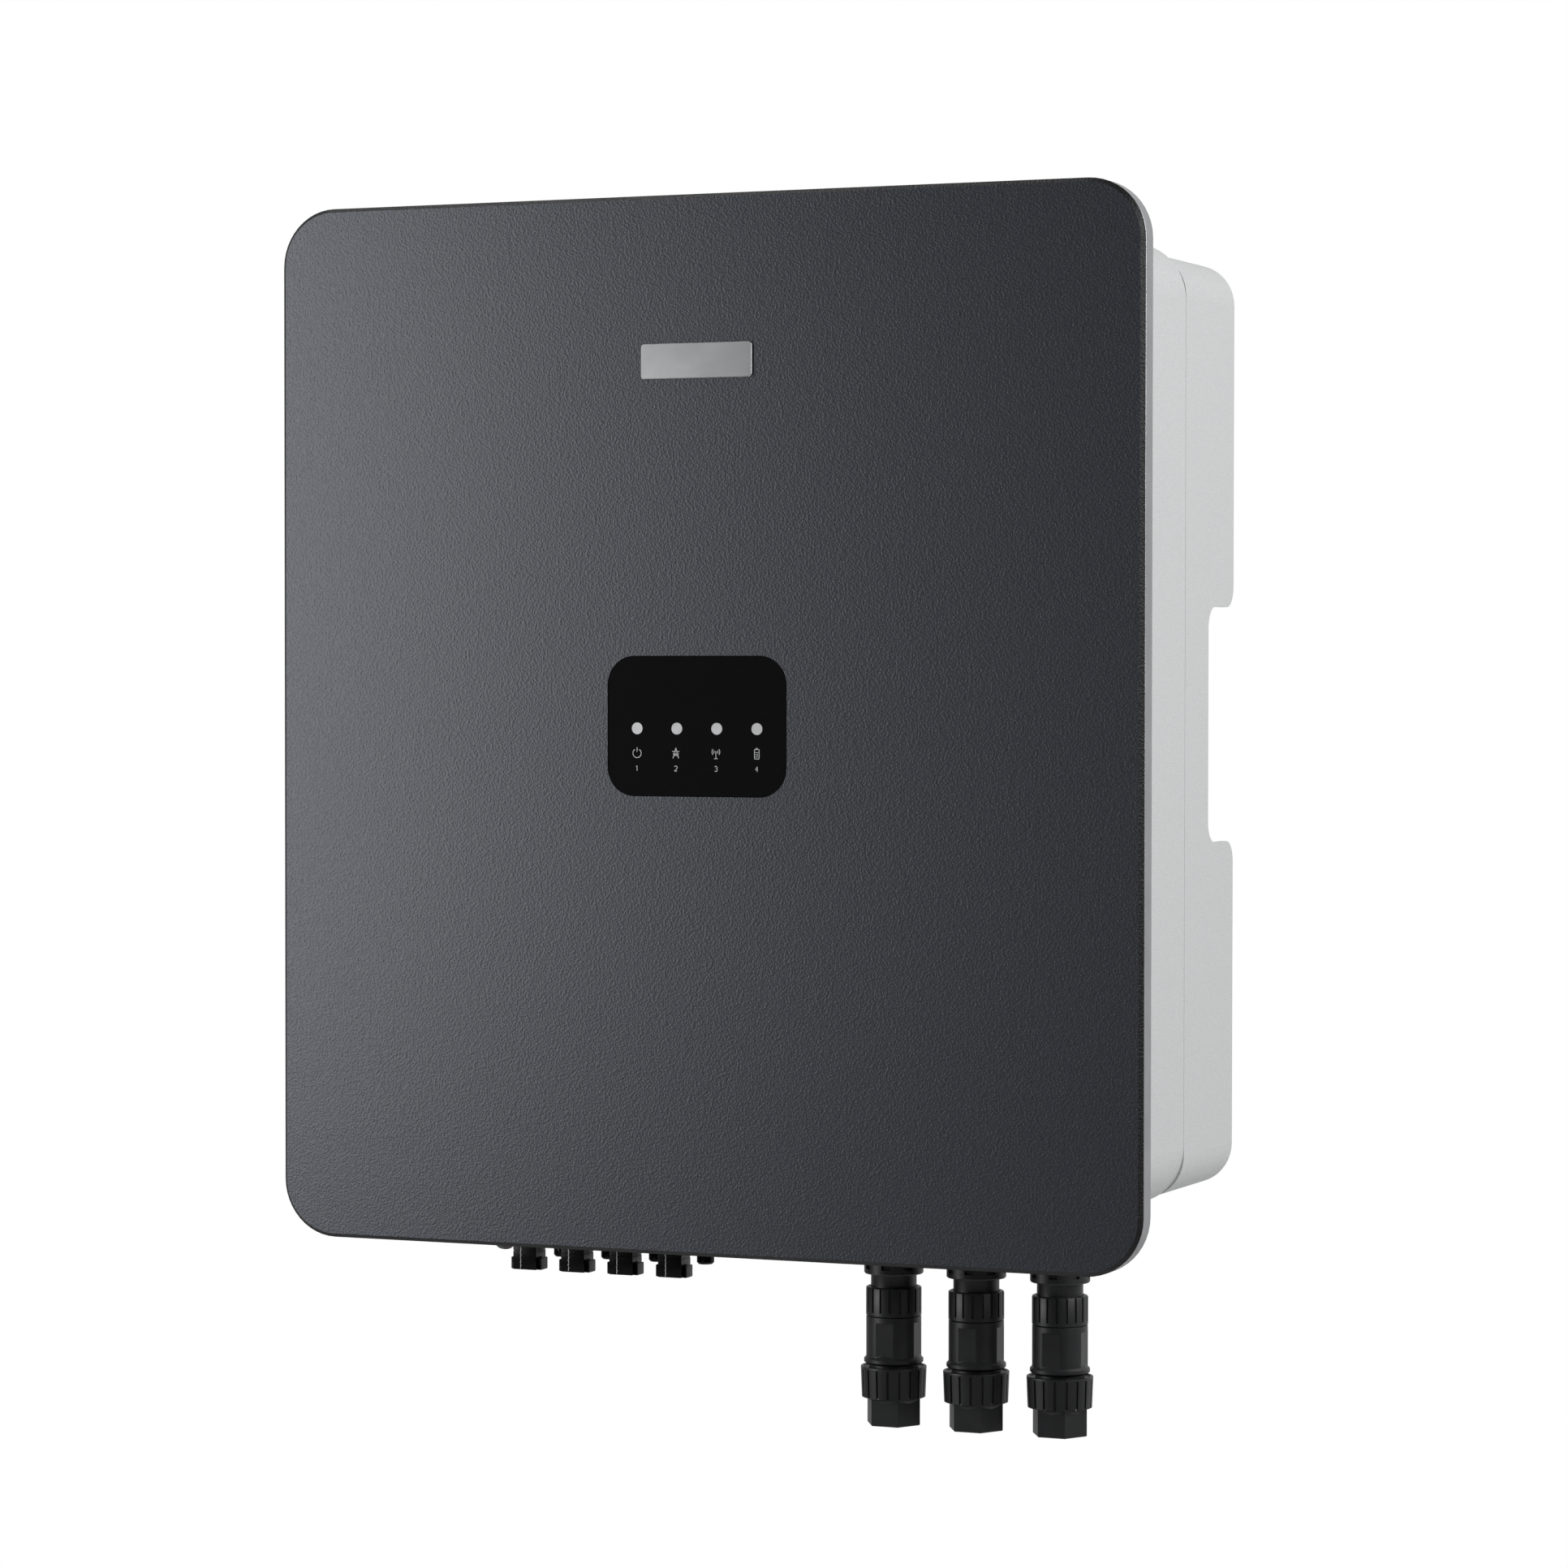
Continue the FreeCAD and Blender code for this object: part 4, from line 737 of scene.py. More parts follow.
@dataclass
class Sculpt:
    """Collects lofts, in millimetres, and turns them into one object."""

    name: str
    work: bmesh.types.BMesh = field(default_factory=bmesh.new)

    def loft(self, rings: Iterable[Ring], closed: bool = False) -> None:
        """Skin a row of rings that all have the same number of points.

        Args:
            rings: The rings in order.
            closed: Whether the last ring joins the first; if not, both ends are capped.
        """
        rows = [[self.work.verts.new(point) for point in ring] for ring in rings]
        pairs = list(zip(rows, rows[1:])) + ([(rows[-1], rows[0])] if closed else [])
        for first, second in pairs:
            for k in range(len(first)):
                n = (k + 1) % len(first)
                self.work.faces.new((first[k], first[n], second[n], second[k]))
        if not closed:
            self.work.faces.new(rows[0][::-1])
            self.work.faces.new(rows[-1])

    def turn(self, stations: Sequence[Station], thetas: Sequence[float],
             closed: bool = False) -> None:
        """Skin the rings of a turned piece.

        Args:
            stations: The rings' radii and heights.
            thetas: The directions of their points.
            closed: Whether the piece is hollow, so that its section is a loop.
        """
        self.loft([station.ring(thetas) for station in stations], closed)

    def finish(self, place: Vector, sharp: float = 32.0) -> bpy.types.Object:
        """Make the object.

        Args:
            place: Where its local origin goes, in metres.
            sharp: The angle, in degrees, above which an edge stays sharp.

        Returns:
            The object.
        """
        bmesh.ops.scale(self.work, vec=(MM, MM, MM), verts=self.work.verts)
        bmesh.ops.translate(self.work, vec=place, verts=self.work.verts)
        bmesh.ops.recalc_face_normals(self.work, faces=self.work.faces)
        mesh = bpy.data.meshes.new(self.name)
        self.work.to_mesh(mesh)
        self.work.free()
        mesh.shade_smooth()
        mesh.set_sharp_from_angle(angle=math.radians(sharp))
        thing = bpy.data.objects.new(self.name, mesh)
        bpy.context.scene.collection.objects.link(thing)
        return thing


def soften(thing: bpy.types.Object, width: float, segments: int = 2,
           sharpest: float = 42.0) -> None:
    """Round a thing's sharp edges a little so that they catch the light.

    Args:
        thing: The object.
        width: The width of the rounding, in millimetres.
        segments: Its steps.
        sharpest: The angle, in degrees, from which an edge is rounded.
    """
    bevel = thing.modifiers.new("soft_edges", "BEVEL")
    bevel.width = width * MM
    bevel.segments = segments
    bevel.limit_method = "ANGLE"
    bevel.angle_limit = math.radians(sharpest)
    bevel.harden_normals = True


def middle_of(node: str) -> Vector:
    """The middle of a CAD node's box.

    Args:
        node: The node's name.

    Returns:
        The middle, in metres.
    """
    low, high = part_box(node)
    return (Vector(low) + Vector(high)) / 2


@dataclass
class Assembly:
    """A group of pieces that are made, dressed and attached together."""

    shop: "Paintshop"

    def fit(self, piece: bpy.types.Object, slot: str, body: str, *nodes: str,
            finish: str = "") -> None:
        """Dress a piece, attach it and let it stand for CAD nodes.

        Args:
            piece: The object.
            slot: Its material slot.
            body: The body it moves with.
            *nodes: The CAD nodes it stands for.
            finish: The finish, if it isn't the slot's own.
        """
        self.shop.dress(piece, finish or slot)
        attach(piece, body)
        if nodes:
            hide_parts(*nodes)


# ----------------------------------------------------------------------------- connectors


@dataclass
class CableConnector(Assembly):
    """One round alternating-current connector: socket, coupling ring, sleeve and gland nut.

    Radii and heights are in millimetres, heights counted from the housing's underside.
    """

    number: int = 1
    thread: float = 13.0
    thread_top: float = 12.0
    bore: float = 8.5
    flange: float = 19.0
    flange_top: float = -1.5
    flange_end: float = -5.5
    lug: float = 15.3
    lug_top: float = -30.5
    lug_end: float = -36.9
    neck: float = 11.8
    neck_end: float = -58.4
    ring: float = 14.3
    ring_top: float = -43.6
    ring_end: float = -58.4
    plug: float = 14.2
    plug_top: float = -58.7
    flat: float = 13.2
    flat_top: float = -61.6
    collar: float = 15.3
    collar_top: float = -79.6
    collar_end: float = -83.7
    spigot: float = 12.6
    spigot_end: float = -97.0
    nut: float = 17.0
    nut_top: float = -84.7
    nut_foot: float = 16.4
    nut_bevel: float = -100.6
    nut_end: float = -115.0
    hexagon: float = 12.644
    cable: float = 9.5
    play: float = 0.3
    gland_depth: float = 17.2
    cone: float = 1.2
    scallop: float = 2.9
    teeth: Comb = Comb(8, 0.26, 1.3, 0.02, 0.1)
    ribs: Comb = Comb(12, 0.1, 0.25, 0.03)
    ring_grooves: Comb = Comb(18, 0.07, 0.7, 0.01, 0.06)
    drum_grooves: Comb = Comb(18, 0.06, 0.75, 0.01, 0.02)
    drum_foot: Comb = Comb(18, 0.06, 0.3, 0.01, 0.02)

    def build(self) -> None:
        """Build the connector's four pieces."""
        middle = middle_of(f"ac_ring_{self.number}")
        place = Vector((middle.x, middle.y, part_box("main_housing")[0].z))
        self.socket(place)
        self.coupling(place)
        self.sleeve(place)
        self.gland(place)

    def socket(self, place: Vector) -> None:
        """Build the socket that is fixed to the housing, with its bayonet lugs.

        Args:
            place: The middle of the connector on the underside.
        """
        teeth, ribs = self.teeth, self.ribs
        stations = [
            Station(self.bore, self.thread_top), Station(self.thread - 0.7, self.thread_top),
            Station(self.thread, self.thread_top - 0.7), Station(self.thread, self.flange_top),
            Station(self.flange - 0.5, self.flange_top),
            Station(self.flange, self.flange_top - 0.5),
            Station(self.flange, self.flange_end + 0.7),
            Station(self.flange - 0.7, self.flange_end),
            Station(self.thread + 0.9, self.flange_end),
            Station(self.thread + 0.25, self.flange_end - 0.3),
            Station(self.thread, self.flange_end - 1.0, ribs.rule),
            Station(self.thread, self.lug_top + 1.2, ribs.rule),
            Station(self.thread, self.lug_top + 1.0), Station(self.thread, self.lug_top),
            Station(self.lug - 0.4, self.lug_top, teeth.rule),
            Station(self.lug, self.lug_top - 0.4, teeth.rule),
            Station(self.lug, self.lug_top - 3.6, teeth.rule),
            Station(self.lug, self.lug_top - 3.65),
            Station(self.lug, self.lug_end + 0.6), Station(self.lug - 0.5, self.lug_end),
            Station(self.neck + 0.6, self.lug_end), Station(self.neck + 0.15, self.lug_end - 0.2),
            Station(self.neck, self.lug_end - 0.7), Station(self.neck, self.ring_top - 2.4),
            Station(self.neck - 0.8, self.ring_top - 2.6),
            Station(self.neck - 0.8, self.ring_top - 4.4),
            Station(self.neck, self.ring_top - 4.6), Station(self.neck, self.neck_end + 0.5),
            Station(self.neck - 0.5, self.neck_end), Station(self.bore, self.neck_end)]
        sculpt = Sculpt(f"ac_socket_body_{self.number}")
        sculpt.turn(stations, directions(96, teeth, ribs), closed=True)
        self.fit(sculpt.finish(place), "black_plastic", Body.INVERTER.value,
                 f"ac_socket_{self.number}")

    def coupling(self, place: Vector) -> None:
        """Build the grooved ring that locks the plug.

        Args:
            place: The middle of the connector on the underside.
        """
        comb = self.ring_grooves
        inner = self.neck + self.play
        stations = [
            Station(inner, self.ring_top), Station(self.ring - 0.8, self.ring_top),
            Station(self.ring - 0.22, self.ring_top - 0.3),
            Station(self.ring, self.ring_top - 0.8, comb.rule),
            Station(self.ring, self.ring_end + 2.3, comb.rule),
            Station(self.ring, self.ring_end + 2.0),
            Station(self.ring, self.ring_end + 0.3), Station(self.ring - 0.3, self.ring_end),
            Station(inner, self.ring_end)]
        sculpt = Sculpt(f"ac_coupling_ring_{self.number}")
        sculpt.turn(stations, directions(72, comb), closed=True)
        self.fit(sculpt.finish(place), "black_plastic", f"ac_ring_{self.number}",
                 f"ac_ring_{self.number}")

    def sleeve(self, place: Vector) -> None:
        """Build the plug's sleeve, with four wrench flats that run out on its collar.

        Args:
            place: The middle of the connector on the underside.
        """
        flats = Facets(4, self.flat)
        slope = (self.collar - self.plug) / self.cone

        def flared(height: float) -> Rule:
            """The section where the flats meet the collar's cone.

            Args:
                height: How high the section is.

            Returns:
                The section's rule.
            """
            cone = self.plug - slope * (height - self.collar_top)
            return lambda theta, radius: min(radius, max(flats.distance(theta), cone))

        run = [self.collar_top + 1.5 - 0.15 * k for k in range(11)]
        stations = [
            Station(self.neck, self.neck_end), Station(self.neck, self.plug_top),
            Station(self.plug - 0.3, self.plug_top), Station(self.plug, self.plug_top - 0.3),
            Station(self.plug, self.flat_top),
            Station(self.plug, self.flat_top - 0.06, flats.shaved)]
        stations += [Station(self.plug, height, flared(height)) for height in run]
        stations += [
            Station(self.collar, self.collar_top - self.cone),
            Station(self.collar, self.collar_end + 1.3),
            Station(self.collar - 0.5, self.collar_end + 0.8),
            Station(self.spigot + 0.7, self.collar_end),
            Station(self.spigot, self.collar_end),
            Station(self.spigot, self.spigot_end), Station(self.plug - 3.8, self.spigot_end),
            Station(self.plug - 3.8, self.plug_top - 2.0), Station(self.bore + 0.05, self.plug_top),
            Station(self.bore + 0.05, self.neck_end)]
        edges = [turn + sign * math.acos(self.flat / self.plug) for turn in
                 (0.0, math.pi / 2, math.pi, 3 * math.pi / 2) for sign in (-1, 1)]
        thetas = sorted(set(directions(96, flats)) | {edge % math.tau for edge in edges})
        sculpt = Sculpt(f"ac_sleeve_{self.number}")
        sculpt.turn(stations, thetas, closed=True)
        self.fit(sculpt.finish(place, 24), "black_plastic", Body.INVERTER.value,
                 f"ac_plug_{self.number}")

    def gland(self, place: Vector) -> None:
        """Build the ribbed gland nut, whose hexagon runs out in scallops under the drum.

        Args:
            place: The middle of the connector on the underside.
        """
        comb, narrow = self.drum_grooves, self.drum_foot
        nut_hexagon = Facets(6, self.hexagon, math.pi / 6)
        inner = self.spigot + self.play
        fall = self.nut_foot - self.hexagon
        steps = 12
        stations = [
            Station(inner, self.nut_top - 1.4), Station(self.nut - 1.7, self.nut_top - 0.9),
            Station(self.nut - 1.1, self.nut_top), Station(self.nut - 0.3, self.nut_top),
            Station(self.nut - 0.06, self.nut_top - 0.15), Station(self.nut, self.nut_top - 0.6),
            Station(self.nut - 0.03, self.nut_top - 1.2),
            Station(self.nut - 0.05, self.nut_top - 1.5, comb.rule),
            Station(self.nut_foot + 0.05, self.nut_bevel + 0.9, comb.rule),
            Station(self.nut_foot, self.nut_bevel, narrow.rule)]
        for k in range(1, steps + 1):
            share = k / steps
            radius = self.nut_foot - fall * math.sin(share * math.pi / 2)
            height = self.nut_bevel - self.scallop * share ** 1.5
            stations.append(Station(radius, height, nut_hexagon.standing))
        stations += [
            Station(0.0, self.nut_end + 0.45, nut_hexagon.standing),
            Station(0.0, self.nut_end, lambda theta, radius: nut_hexagon.distance(theta) - 0.45),
            Station(self.cable + 0.6, self.nut_end), Station(self.cable, self.nut_end + 0.6),
            Station(self.cable, self.nut_top - self.gland_depth),
            Station(inner, self.nut_top - self.gland_depth)]
        sculpt = Sculpt(f"ac_gland_nut_body_{self.number}")
        sculpt.turn(stations, directions(96, comb, nut_hexagon), closed=True)
        self.fit(sculpt.finish(place, 26), "black_plastic", f"ac_nut_{self.number}",
                 f"ac_gland_nut_{self.number}")


@dataclass
class StringConnector(Assembly):
    """One pair of direct-current sockets: a winged block in front and a round nose behind.

    Sizes are in millimetres, heights counted from the housing's underside.
    """

    number: int = 1
    thread: float = 6.2
    thread_top: float = 14.0
    flange: float = 8.5
    flange_end: float = -3.0
    half_width: float = 6.7
    half_depth: float = 6.0
    block_top: float = -36.2
    block_end: float = -42.5
    wing_reach: float = 8.8
    wing_half: float = 4.0
    wing_slot: float = 0.7
    wing_web: float = -39.5
    bore: float = 4.9
    bore_depth: float = 22.0
    barrel: float = 7.0
    barrel_end: float = -24.0
    nose: float = 4.6
    nose_end: float = -40.4
    pin: float = 2.0
    corner: float = 0.35
    seam_steps: int = 80
    seam_place: float = -2.2
    seam_half: float = 0.26
    seam_proud: float = 0.12
    seam_sunk: float = 0.02
    keys: Comb = Comb(4, 0.5, 0.5, 0.03)
    grip: Comb = Comb(10, 0.2, 0.35, 0.04)

    def build(self) -> None:
        """Build both sockets."""
        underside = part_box("main_housing")[0].z
        front = middle_of(f"dc_plus_socket_{self.number}")
        rear = middle_of(f"dc_minus_socket_{self.number}")
        self.plus(Vector((front.x, front.y, underside)))
        self.minus(Vector((rear.x, rear.y, underside)))

    def plus(self, place: Vector) -> None:
        """Build the winged block of the plus socket.

        Args:
            place: The middle of the socket on the underside.
        """
        sculpt = Sculpt(f"dc_plus_body_{self.number}")
        wide, deep = self.half_width, self.half_depth

        def level(height: float, inset: float = 0.0) -> Ring:
            """One level of the block's main body.

            Args:
                height: How high it is.
                inset: How far it is drawn in.

            Returns:
                The level's ring.
            """
            return rounded(wide - inset, deep - inset, max(0.1, self.corner - inset), height)

        guide = level(0.0)
        top = self.block_top
        mouth = self.block_end + self.bore_depth
        sculpt.loft([
            circle_like(guide, self.thread, self.thread_top),
            circle_like(guide, self.thread, 0.0), circle_like(guide, self.flange - 0.4, 0.0),
            circle_like(guide, self.flange, -0.4),
            circle_like(guide, self.flange, self.flange_end + 0.4),
            circle_like(guide, self.flange - 0.4, self.flange_end),
            level(self.flange_end, 0.3), level(self.flange_end - 0.3),
            level(-12.0), level(-12.2, 0.6), level(-15.8, 0.6), level(-16.0),
            level(top + 4.0), level(top + 3.85, 0.25), level(top + 3.45, 0.25), level(top + 3.3),
            level(self.block_end + 0.45), level(self.block_end + 0.1, 0.15),
            level(self.block_end, 0.5),
            circle_like(guide, self.bore + 0.5, self.block_end),
            circle_like(guide, self.bore, self.block_end + 0.5),
            circle_like(guide, self.bore, mouth)])
        for side in (-1, 1):
            inner, outer = wide - 0.4, self.wing_reach
            root = (inner + outer) / 2 * side
            leaf = (wide + self.wing_slot + outer) / 2 * side
            half_root, half_leaf = (outer - inner) / 2, (outer - wide - self.wing_slot) / 2
            sculpt.loft([
                rounded(half_leaf - 0.25, self.wing_half - 0.25, 0.2, top, shift=(leaf, 0)),
                rounded(half_leaf, self.wing_half, 0.3, top - 0.3, shift=(leaf, 0)),
                rounded(half_leaf, self.wing_half, 0.3, self.wing_web, shift=(leaf, 0)),
                rounded(half_root, self.wing_half, 0.3, self.wing_web - 0.1, shift=(root, 0)),
                rounded(half_root, self.wing_half, 0.3, self.block_end + 0.4, shift=(root, 0)),
                rounded(half_root - 0.3, self.wing_half - 0.3, 0.2, self.block_end,
                        shift=(root, 0))])
        self.fit(sculpt.finish(place), "black_plastic", Body.INVERTER.value,
                 f"dc_plus_socket_{self.number}", finish="deep_black")
        self.seam(place)

    def seam(self, place: Vector) -> None:
        """Lay the wavy moulding line down the front of the block; it is coloured light grey as a
        painted highlight along its ridge.

        Args:
            place: The middle of the socket on the underside.
        """
        sculpt = Sculpt(f"dc_plus_seam_{self.number}")
        steps = self.seam_steps
        root, crest = self.seam_sunk - self.half_depth, -self.half_depth - self.seam_proud
        start, run = self.flange_end - 1.0, self.block_end + 0.6 - self.flange_end + 1.0
        rings = []
        for k in range(steps + 1):
            height = start + run * k / steps
            sway = self.seam_place + 0.14 * math.sin(2.3 * height) + 0.1 * math.sin(5.1 * height)
            half = self.seam_half + 0.07 * math.sin(3.7 * height)
            rings.append([(sway - half, root, height), (sway - half * 0.5, crest, height),
                          (sway + half * 0.5, crest, height), (sway + half, root, height)])
        sculpt.loft(rings)
        piece = sculpt.finish(place, 60)
        # Painted highlight: the black plastic seam ridge is coloured light grey.
        self.fit(piece, "black_plastic", Body.INVERTER.value, finish="seam_painted_highlight")

    def minus(self, place: Vector) -> None:
        """Build the round nose of the minus socket.

        Args:
            place: The middle of the socket on the underside.
        """
        keys, grip = self.keys, self.grip
        stations = [
            Station(self.pin, self.thread_top), Station(self.thread - 0.5, self.thread_top),
            Station(self.thread, self.thread_top - 0.5), Station(self.thread, 0.0),
            Station(self.flange - 0.4, 0.0), Station(self.flange, -0.4),
            Station(self.flange, self.flange_end + 0.4),
            Station(self.flange - 0.4, self.flange_end),
            Station(self.barrel, self.flange_end),
            Station(self.barrel, self.flange_end - 1.0, grip.rule),
            Station(self.barrel, self.barrel_end + 1.6, grip.rule),
            Station(self.barrel, self.barrel_end + 1.4),
            Station(self.barrel, self.barrel_end + 0.5),
            Station(self.barrel - 0.5, self.barrel_end),
            Station(self.nose + 0.4, self.barrel_end), Station(self.nose, self.barrel_end - 0.4),
            Station(self.nose, self.barrel_end - 4.0),
            Station(self.nose - 0.45, self.barrel_end - 4.2),
            Station(self.nose - 0.45, self.barrel_end - 5.6),
            Station(self.nose, self.barrel_end - 5.8),
            Station(self.nose, self.nose_end + 4.0),
            Station(self.nose, self.nose_end + 3.9, keys.rule),
            Station(self.nose, self.nose_end + 1.0, keys.rule),
            Station(self.nose - 0.9, self.nose_end),
            Station(self.pin + 0.4, self.nose_end), Station(self.pin, self.nose_end + 0.4),
            Station(self.pin, self.nose_end + 14.0), Station(0.4, self.nose_end + 14.2)]
        sculpt = Sculpt(f"dc_minus_body_{self.number}")
        thetas = directions(48, keys, grip)
        sculpt.turn([Station(0.4, self.thread_top)] + stations, thetas)
        self.fit(sculpt.finish(place), "black_plastic", Body.INVERTER.value,
                 f"dc_minus_socket_{self.number}", finish="deep_black")


# ----------------------------------------------------------------------------- underside


@dataclass
class SwitchKnob(Assembly):
    """The knob of the direct-current switch: a knurled disc with an arched grip bar.

    Sizes are in millimetres, heights counted from the housing's underside.
    """

    radius: float = 17.0
    top: float = -5.0
    end: float = -17.0
    reach: float = 18.5
    arch: float = 16.0
    half: float = 2.75
    shaft: float = 3.0
    bar_half: float = 15.7
    bar_steps: int = 36
    waist: float = 0.35
    knurl: Comb = Comb(28, 0.07, 0.55, 0.03)

    def build(self) -> None:
        """Build the knob."""
        middle = middle_of("dc_switch_knob")
        place = Vector((middle.x, middle.y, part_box("main_housing")[0].z))
        knurl = self.knurl
        sculpt = Sculpt("dc_knob_body")
        sculpt.turn([
            Station(self.shaft, self.top), Station(self.radius - 0.8, self.top),
            Station(self.radius, self.top - 0.8, knurl.rule),
            Station(self.radius, self.end + 4.2, knurl.rule),
            Station(self.radius - 0.25, self.end + 3.4), Station(self.radius - 1.6, self.end + 1.2),
            Station(self.radius - 3.0, self.end + 0.15), Station(self.radius - 3.6, self.end),
            Station(self.shaft, self.end)], directions(96, knurl), closed=True)
        crown = self.end - self.reach + self.arch
        rings = []
        span = self.bar_half * 2
        for k in range(self.bar_steps + 1):
            y = -self.bar_half + span * k / self.bar_steps
            low = crown - math.sqrt(self.arch ** 2 - y ** 2)
            waist = self.half - self.waist * math.cos(math.pi * y / span)
            rings.append([(-waist, y, self.end + 0.8), (-waist, y, min(self.end, low + 2.4)),
                          (-waist + 0.15, y, low + 1.1), (-waist + 0.9, y, low + 0.2),
                          (0.0, y, low),
                          (waist - 0.9, y, low + 0.2), (waist - 0.15, y, low + 1.1),
                          (waist, y, min(self.end, low + 2.4)), (waist, y, self.end + 0.8)])
        sculpt.loft(rings)
        self.fit(sculpt.finish(place, 35), "black_plastic", Body.KNOB.value, "dc_switch_knob")


# ----------------------------------------------------------------------------- front


Stroke = list[tuple[float, float]]


@dataclass
class StatusWindow(Assembly):
    """The printing on the black window: a symbol and a numeral under each lamp.

    Sizes are in millimetres, from the window's middle.
    """

    columns: tuple[float, ...] = (-33.5, -11.7, 10.7, 33.4)
    symbol_height: float = -13.7
    numeral_height: float = -21.6
    line: float = 0.34
    size: float = 2.7
    proud: float = 0.03

    def build(self) -> None:
        """Print every symbol and numeral."""
        symbols = (self.power(), self.pylon(), self.aerial(), self.battery())
        low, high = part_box("display_lens")
        face = Vector(((low.x + high.x) / 2, low.y, (low.z + high.z) / 2))
        for k, (column, strokes) in enumerate(zip(self.columns, symbols), start=1):
            self.print_strokes(f"window_symbol_{k}", strokes, face, column, self.symbol_height,
                               self.line)
            self.print_strokes(f"window_numeral_{k}", self.numeral(k), face, column,
                               self.numeral_height, self.line * 0.85)

    def print_strokes(self, name: str, strokes: list[Stroke], face: Vector, column: float,
                      height: float, line: float) -> None:
        """Lay thin raised ink along strokes.

        Args:
            name: The piece's name.
            strokes: The strokes' points across and up, in millimetres.
            face: The middle of the window's face.
            column: The middle of the print across the window.
            height: The middle of the print up the window.
            line: The ink's width.
        """
        sculpt = Sculpt(name)
        for stroke in strokes:
            rings = []
            for k, point in enumerate(stroke):
                before, after = stroke[max(0, k - 1)], stroke[min(len(stroke) - 1, k + 1)]
                run, rise = after[0] - before[0], after[1] - before[1]
                length = math.hypot(run, rise) or 1.0
                side_x, side_z = -rise / length * line / 2, run / length * line / 2
                x, z = point[0] + column, point[1] + height
                left, right = (x - side_x, z - side_z), (x + side_x, z + side_z)
                rings.append([(left[0], 0.0, left[1]), (right[0], 0.0, right[1]),
                              (right[0], -self.proud, right[1]), (left[0], -self.proud, left[1])])
            sculpt.loft(rings)
        self.fit(sculpt.finish(face), "light_pipe", Body.INVERTER.value)

    def arc(self, middle: tuple[float, float], radius: float, start: float, end: float) -> Stroke:
        """Points along part of a circle.

        Args:
            middle: The circle's middle.
            radius: Its radius.
            start: Where it starts, in degrees from the right.
            end: Where it ends.

        Returns:
            The points.
        """
        steps = max(6, int(abs(end - start) / 12))
        turns = [math.radians(start + (end - start) * k / steps) for k in range(steps + 1)]
        return [(middle[0] + radius * math.cos(t), middle[1] + radius * math.sin(t)) for t in turns]

    def power(self) -> list[Stroke]:
        """An open ring with an upright stroke."""
        return [self.arc((0.0, -0.2), self.size * 0.86, 125, 415), [(0.0, 0.5), (0.0, self.size)]]

    def pylon(self) -> list[Stroke]:
        """A lattice mast."""
        s = self.size
        return [[(-s * 0.6, -s), (-s * 0.22, s * 0.2), (0.0, s)],
                [(s * 0.6, -s), (s * 0.22, s * 0.2), (0.0, s)],
                [(-s * 0.75, s * 0.3), (s * 0.75, s * 0.3)],
                [(-s * 0.6, -s * 0.15), (s * 0.6, -s * 0.15)],
                [(-s * 0.45, -s * 0.6), (s * 0.3, -s * 0.15)],
                [(s * 0.45, -s * 0.6), (-s * 0.3, -s * 0.15)]]

    def aerial(self) -> list[Stroke]:
        """A mast that sends waves to both sides."""
        s = self.size
        waves = [self.arc((0.0, s * 0.25), s * reach, start, start + 80)
                 for reach in (0.42, 0.8) for start in (-40, 140)]
        return [[(0.0, s * 0.25), (0.0, -s)], [(-s * 0.35, -s), (s * 0.35, -s)], *waves,
                self.arc((0.0, s * 0.25), 0.2, 0, 360)]

    def battery(self) -> list[Stroke]:
        """An upright cell with its level lines."""
        s = self.size
        left, right, top = -s * 0.48, s * 0.48, s * 0.78
        body = [(left, -s), (right, -s), (right, top), (left, top), (left, -s)]
        levels = [[(left + 0.45, z * s), (right - 0.45, z * s)] for z in (-0.6, -0.2, 0.2)]
        return [*[[body[k], body[k + 1]] for k in range(4)], [(-0.5, s), (0.5, s)], *levels]

    def numeral(self, value: int) -> list[Stroke]:
        """One plain numeral.

        Args:
            value: The number, from 1 to 4.

        Returns:
            Its strokes.
        """
        w, h = 0.78, 1.3
        shapes: dict[int, list[Stroke]] = {
            1: [[(-w * 0.6, h * 0.55), (0.0, h)], [(0.0, h), (0.0, -h)]],
            2: [self.arc((0.0, h * 0.42), w, 160, -40) + [(-w, -h)], [(-w, -h), (w, -h)]],
            3: [self.arc((0.0, h * 0.48), w * 0.9, 150, -90),
                self.arc((0.0, -h * 0.42), w, 90, -150)],
            4: [[(w * 0.4, -h), (w * 0.4, h)], [(w * 0.4, h), (-w, -h * 0.3)],
                [(-w, -h * 0.3), (w, -h * 0.3)]]}
        return shapes[value]


@dataclass
class Casing(Assembly):
    """The CAD's own large pieces, whose edges are softened."""

    soft: tuple[tuple[str, float], ...] = (
        ("front_panel", 0.22), ("cover_lid", 0.35), ("main_housing", 0.5), ("rear_shroud", 0.15),
        ("heat_sink", 0.25), ("wall_bracket", 0.4), ("hang_hooks", 0.4), ("cover_gasket", 0.2),
        ("badge_plate", 0.12), ("display_lens", 0.15), ("com_port_cover", 0.8),
        ("led_light_pipes", 0.2), ("cover_screws", 0.3), ("shroud_screws", 0.25),
        ("heat_sink_screws", 0.3), ("hook_screws", 0.3), ("earth_screw", 0.25),
        ("lower_spacers", 0.6), ("logger_cap", 0.25), ("vent_valve", 0.3))

    def build(self, nodes: dict[str, bpy.types.Object]) -> None:
        """Soften the edges of the casing's pieces and smooth their rounds.

        Args:
            nodes: The CAD nodes by name.
        """
        for thing in nodes.values():
            thing.data.shade_smooth()
            thing.data.set_sharp_from_angle(angle=math.radians(25))
        for name, width in self.soft:
            soften(nodes[name], width)


# ----------------------------------------------------------------------------- studio


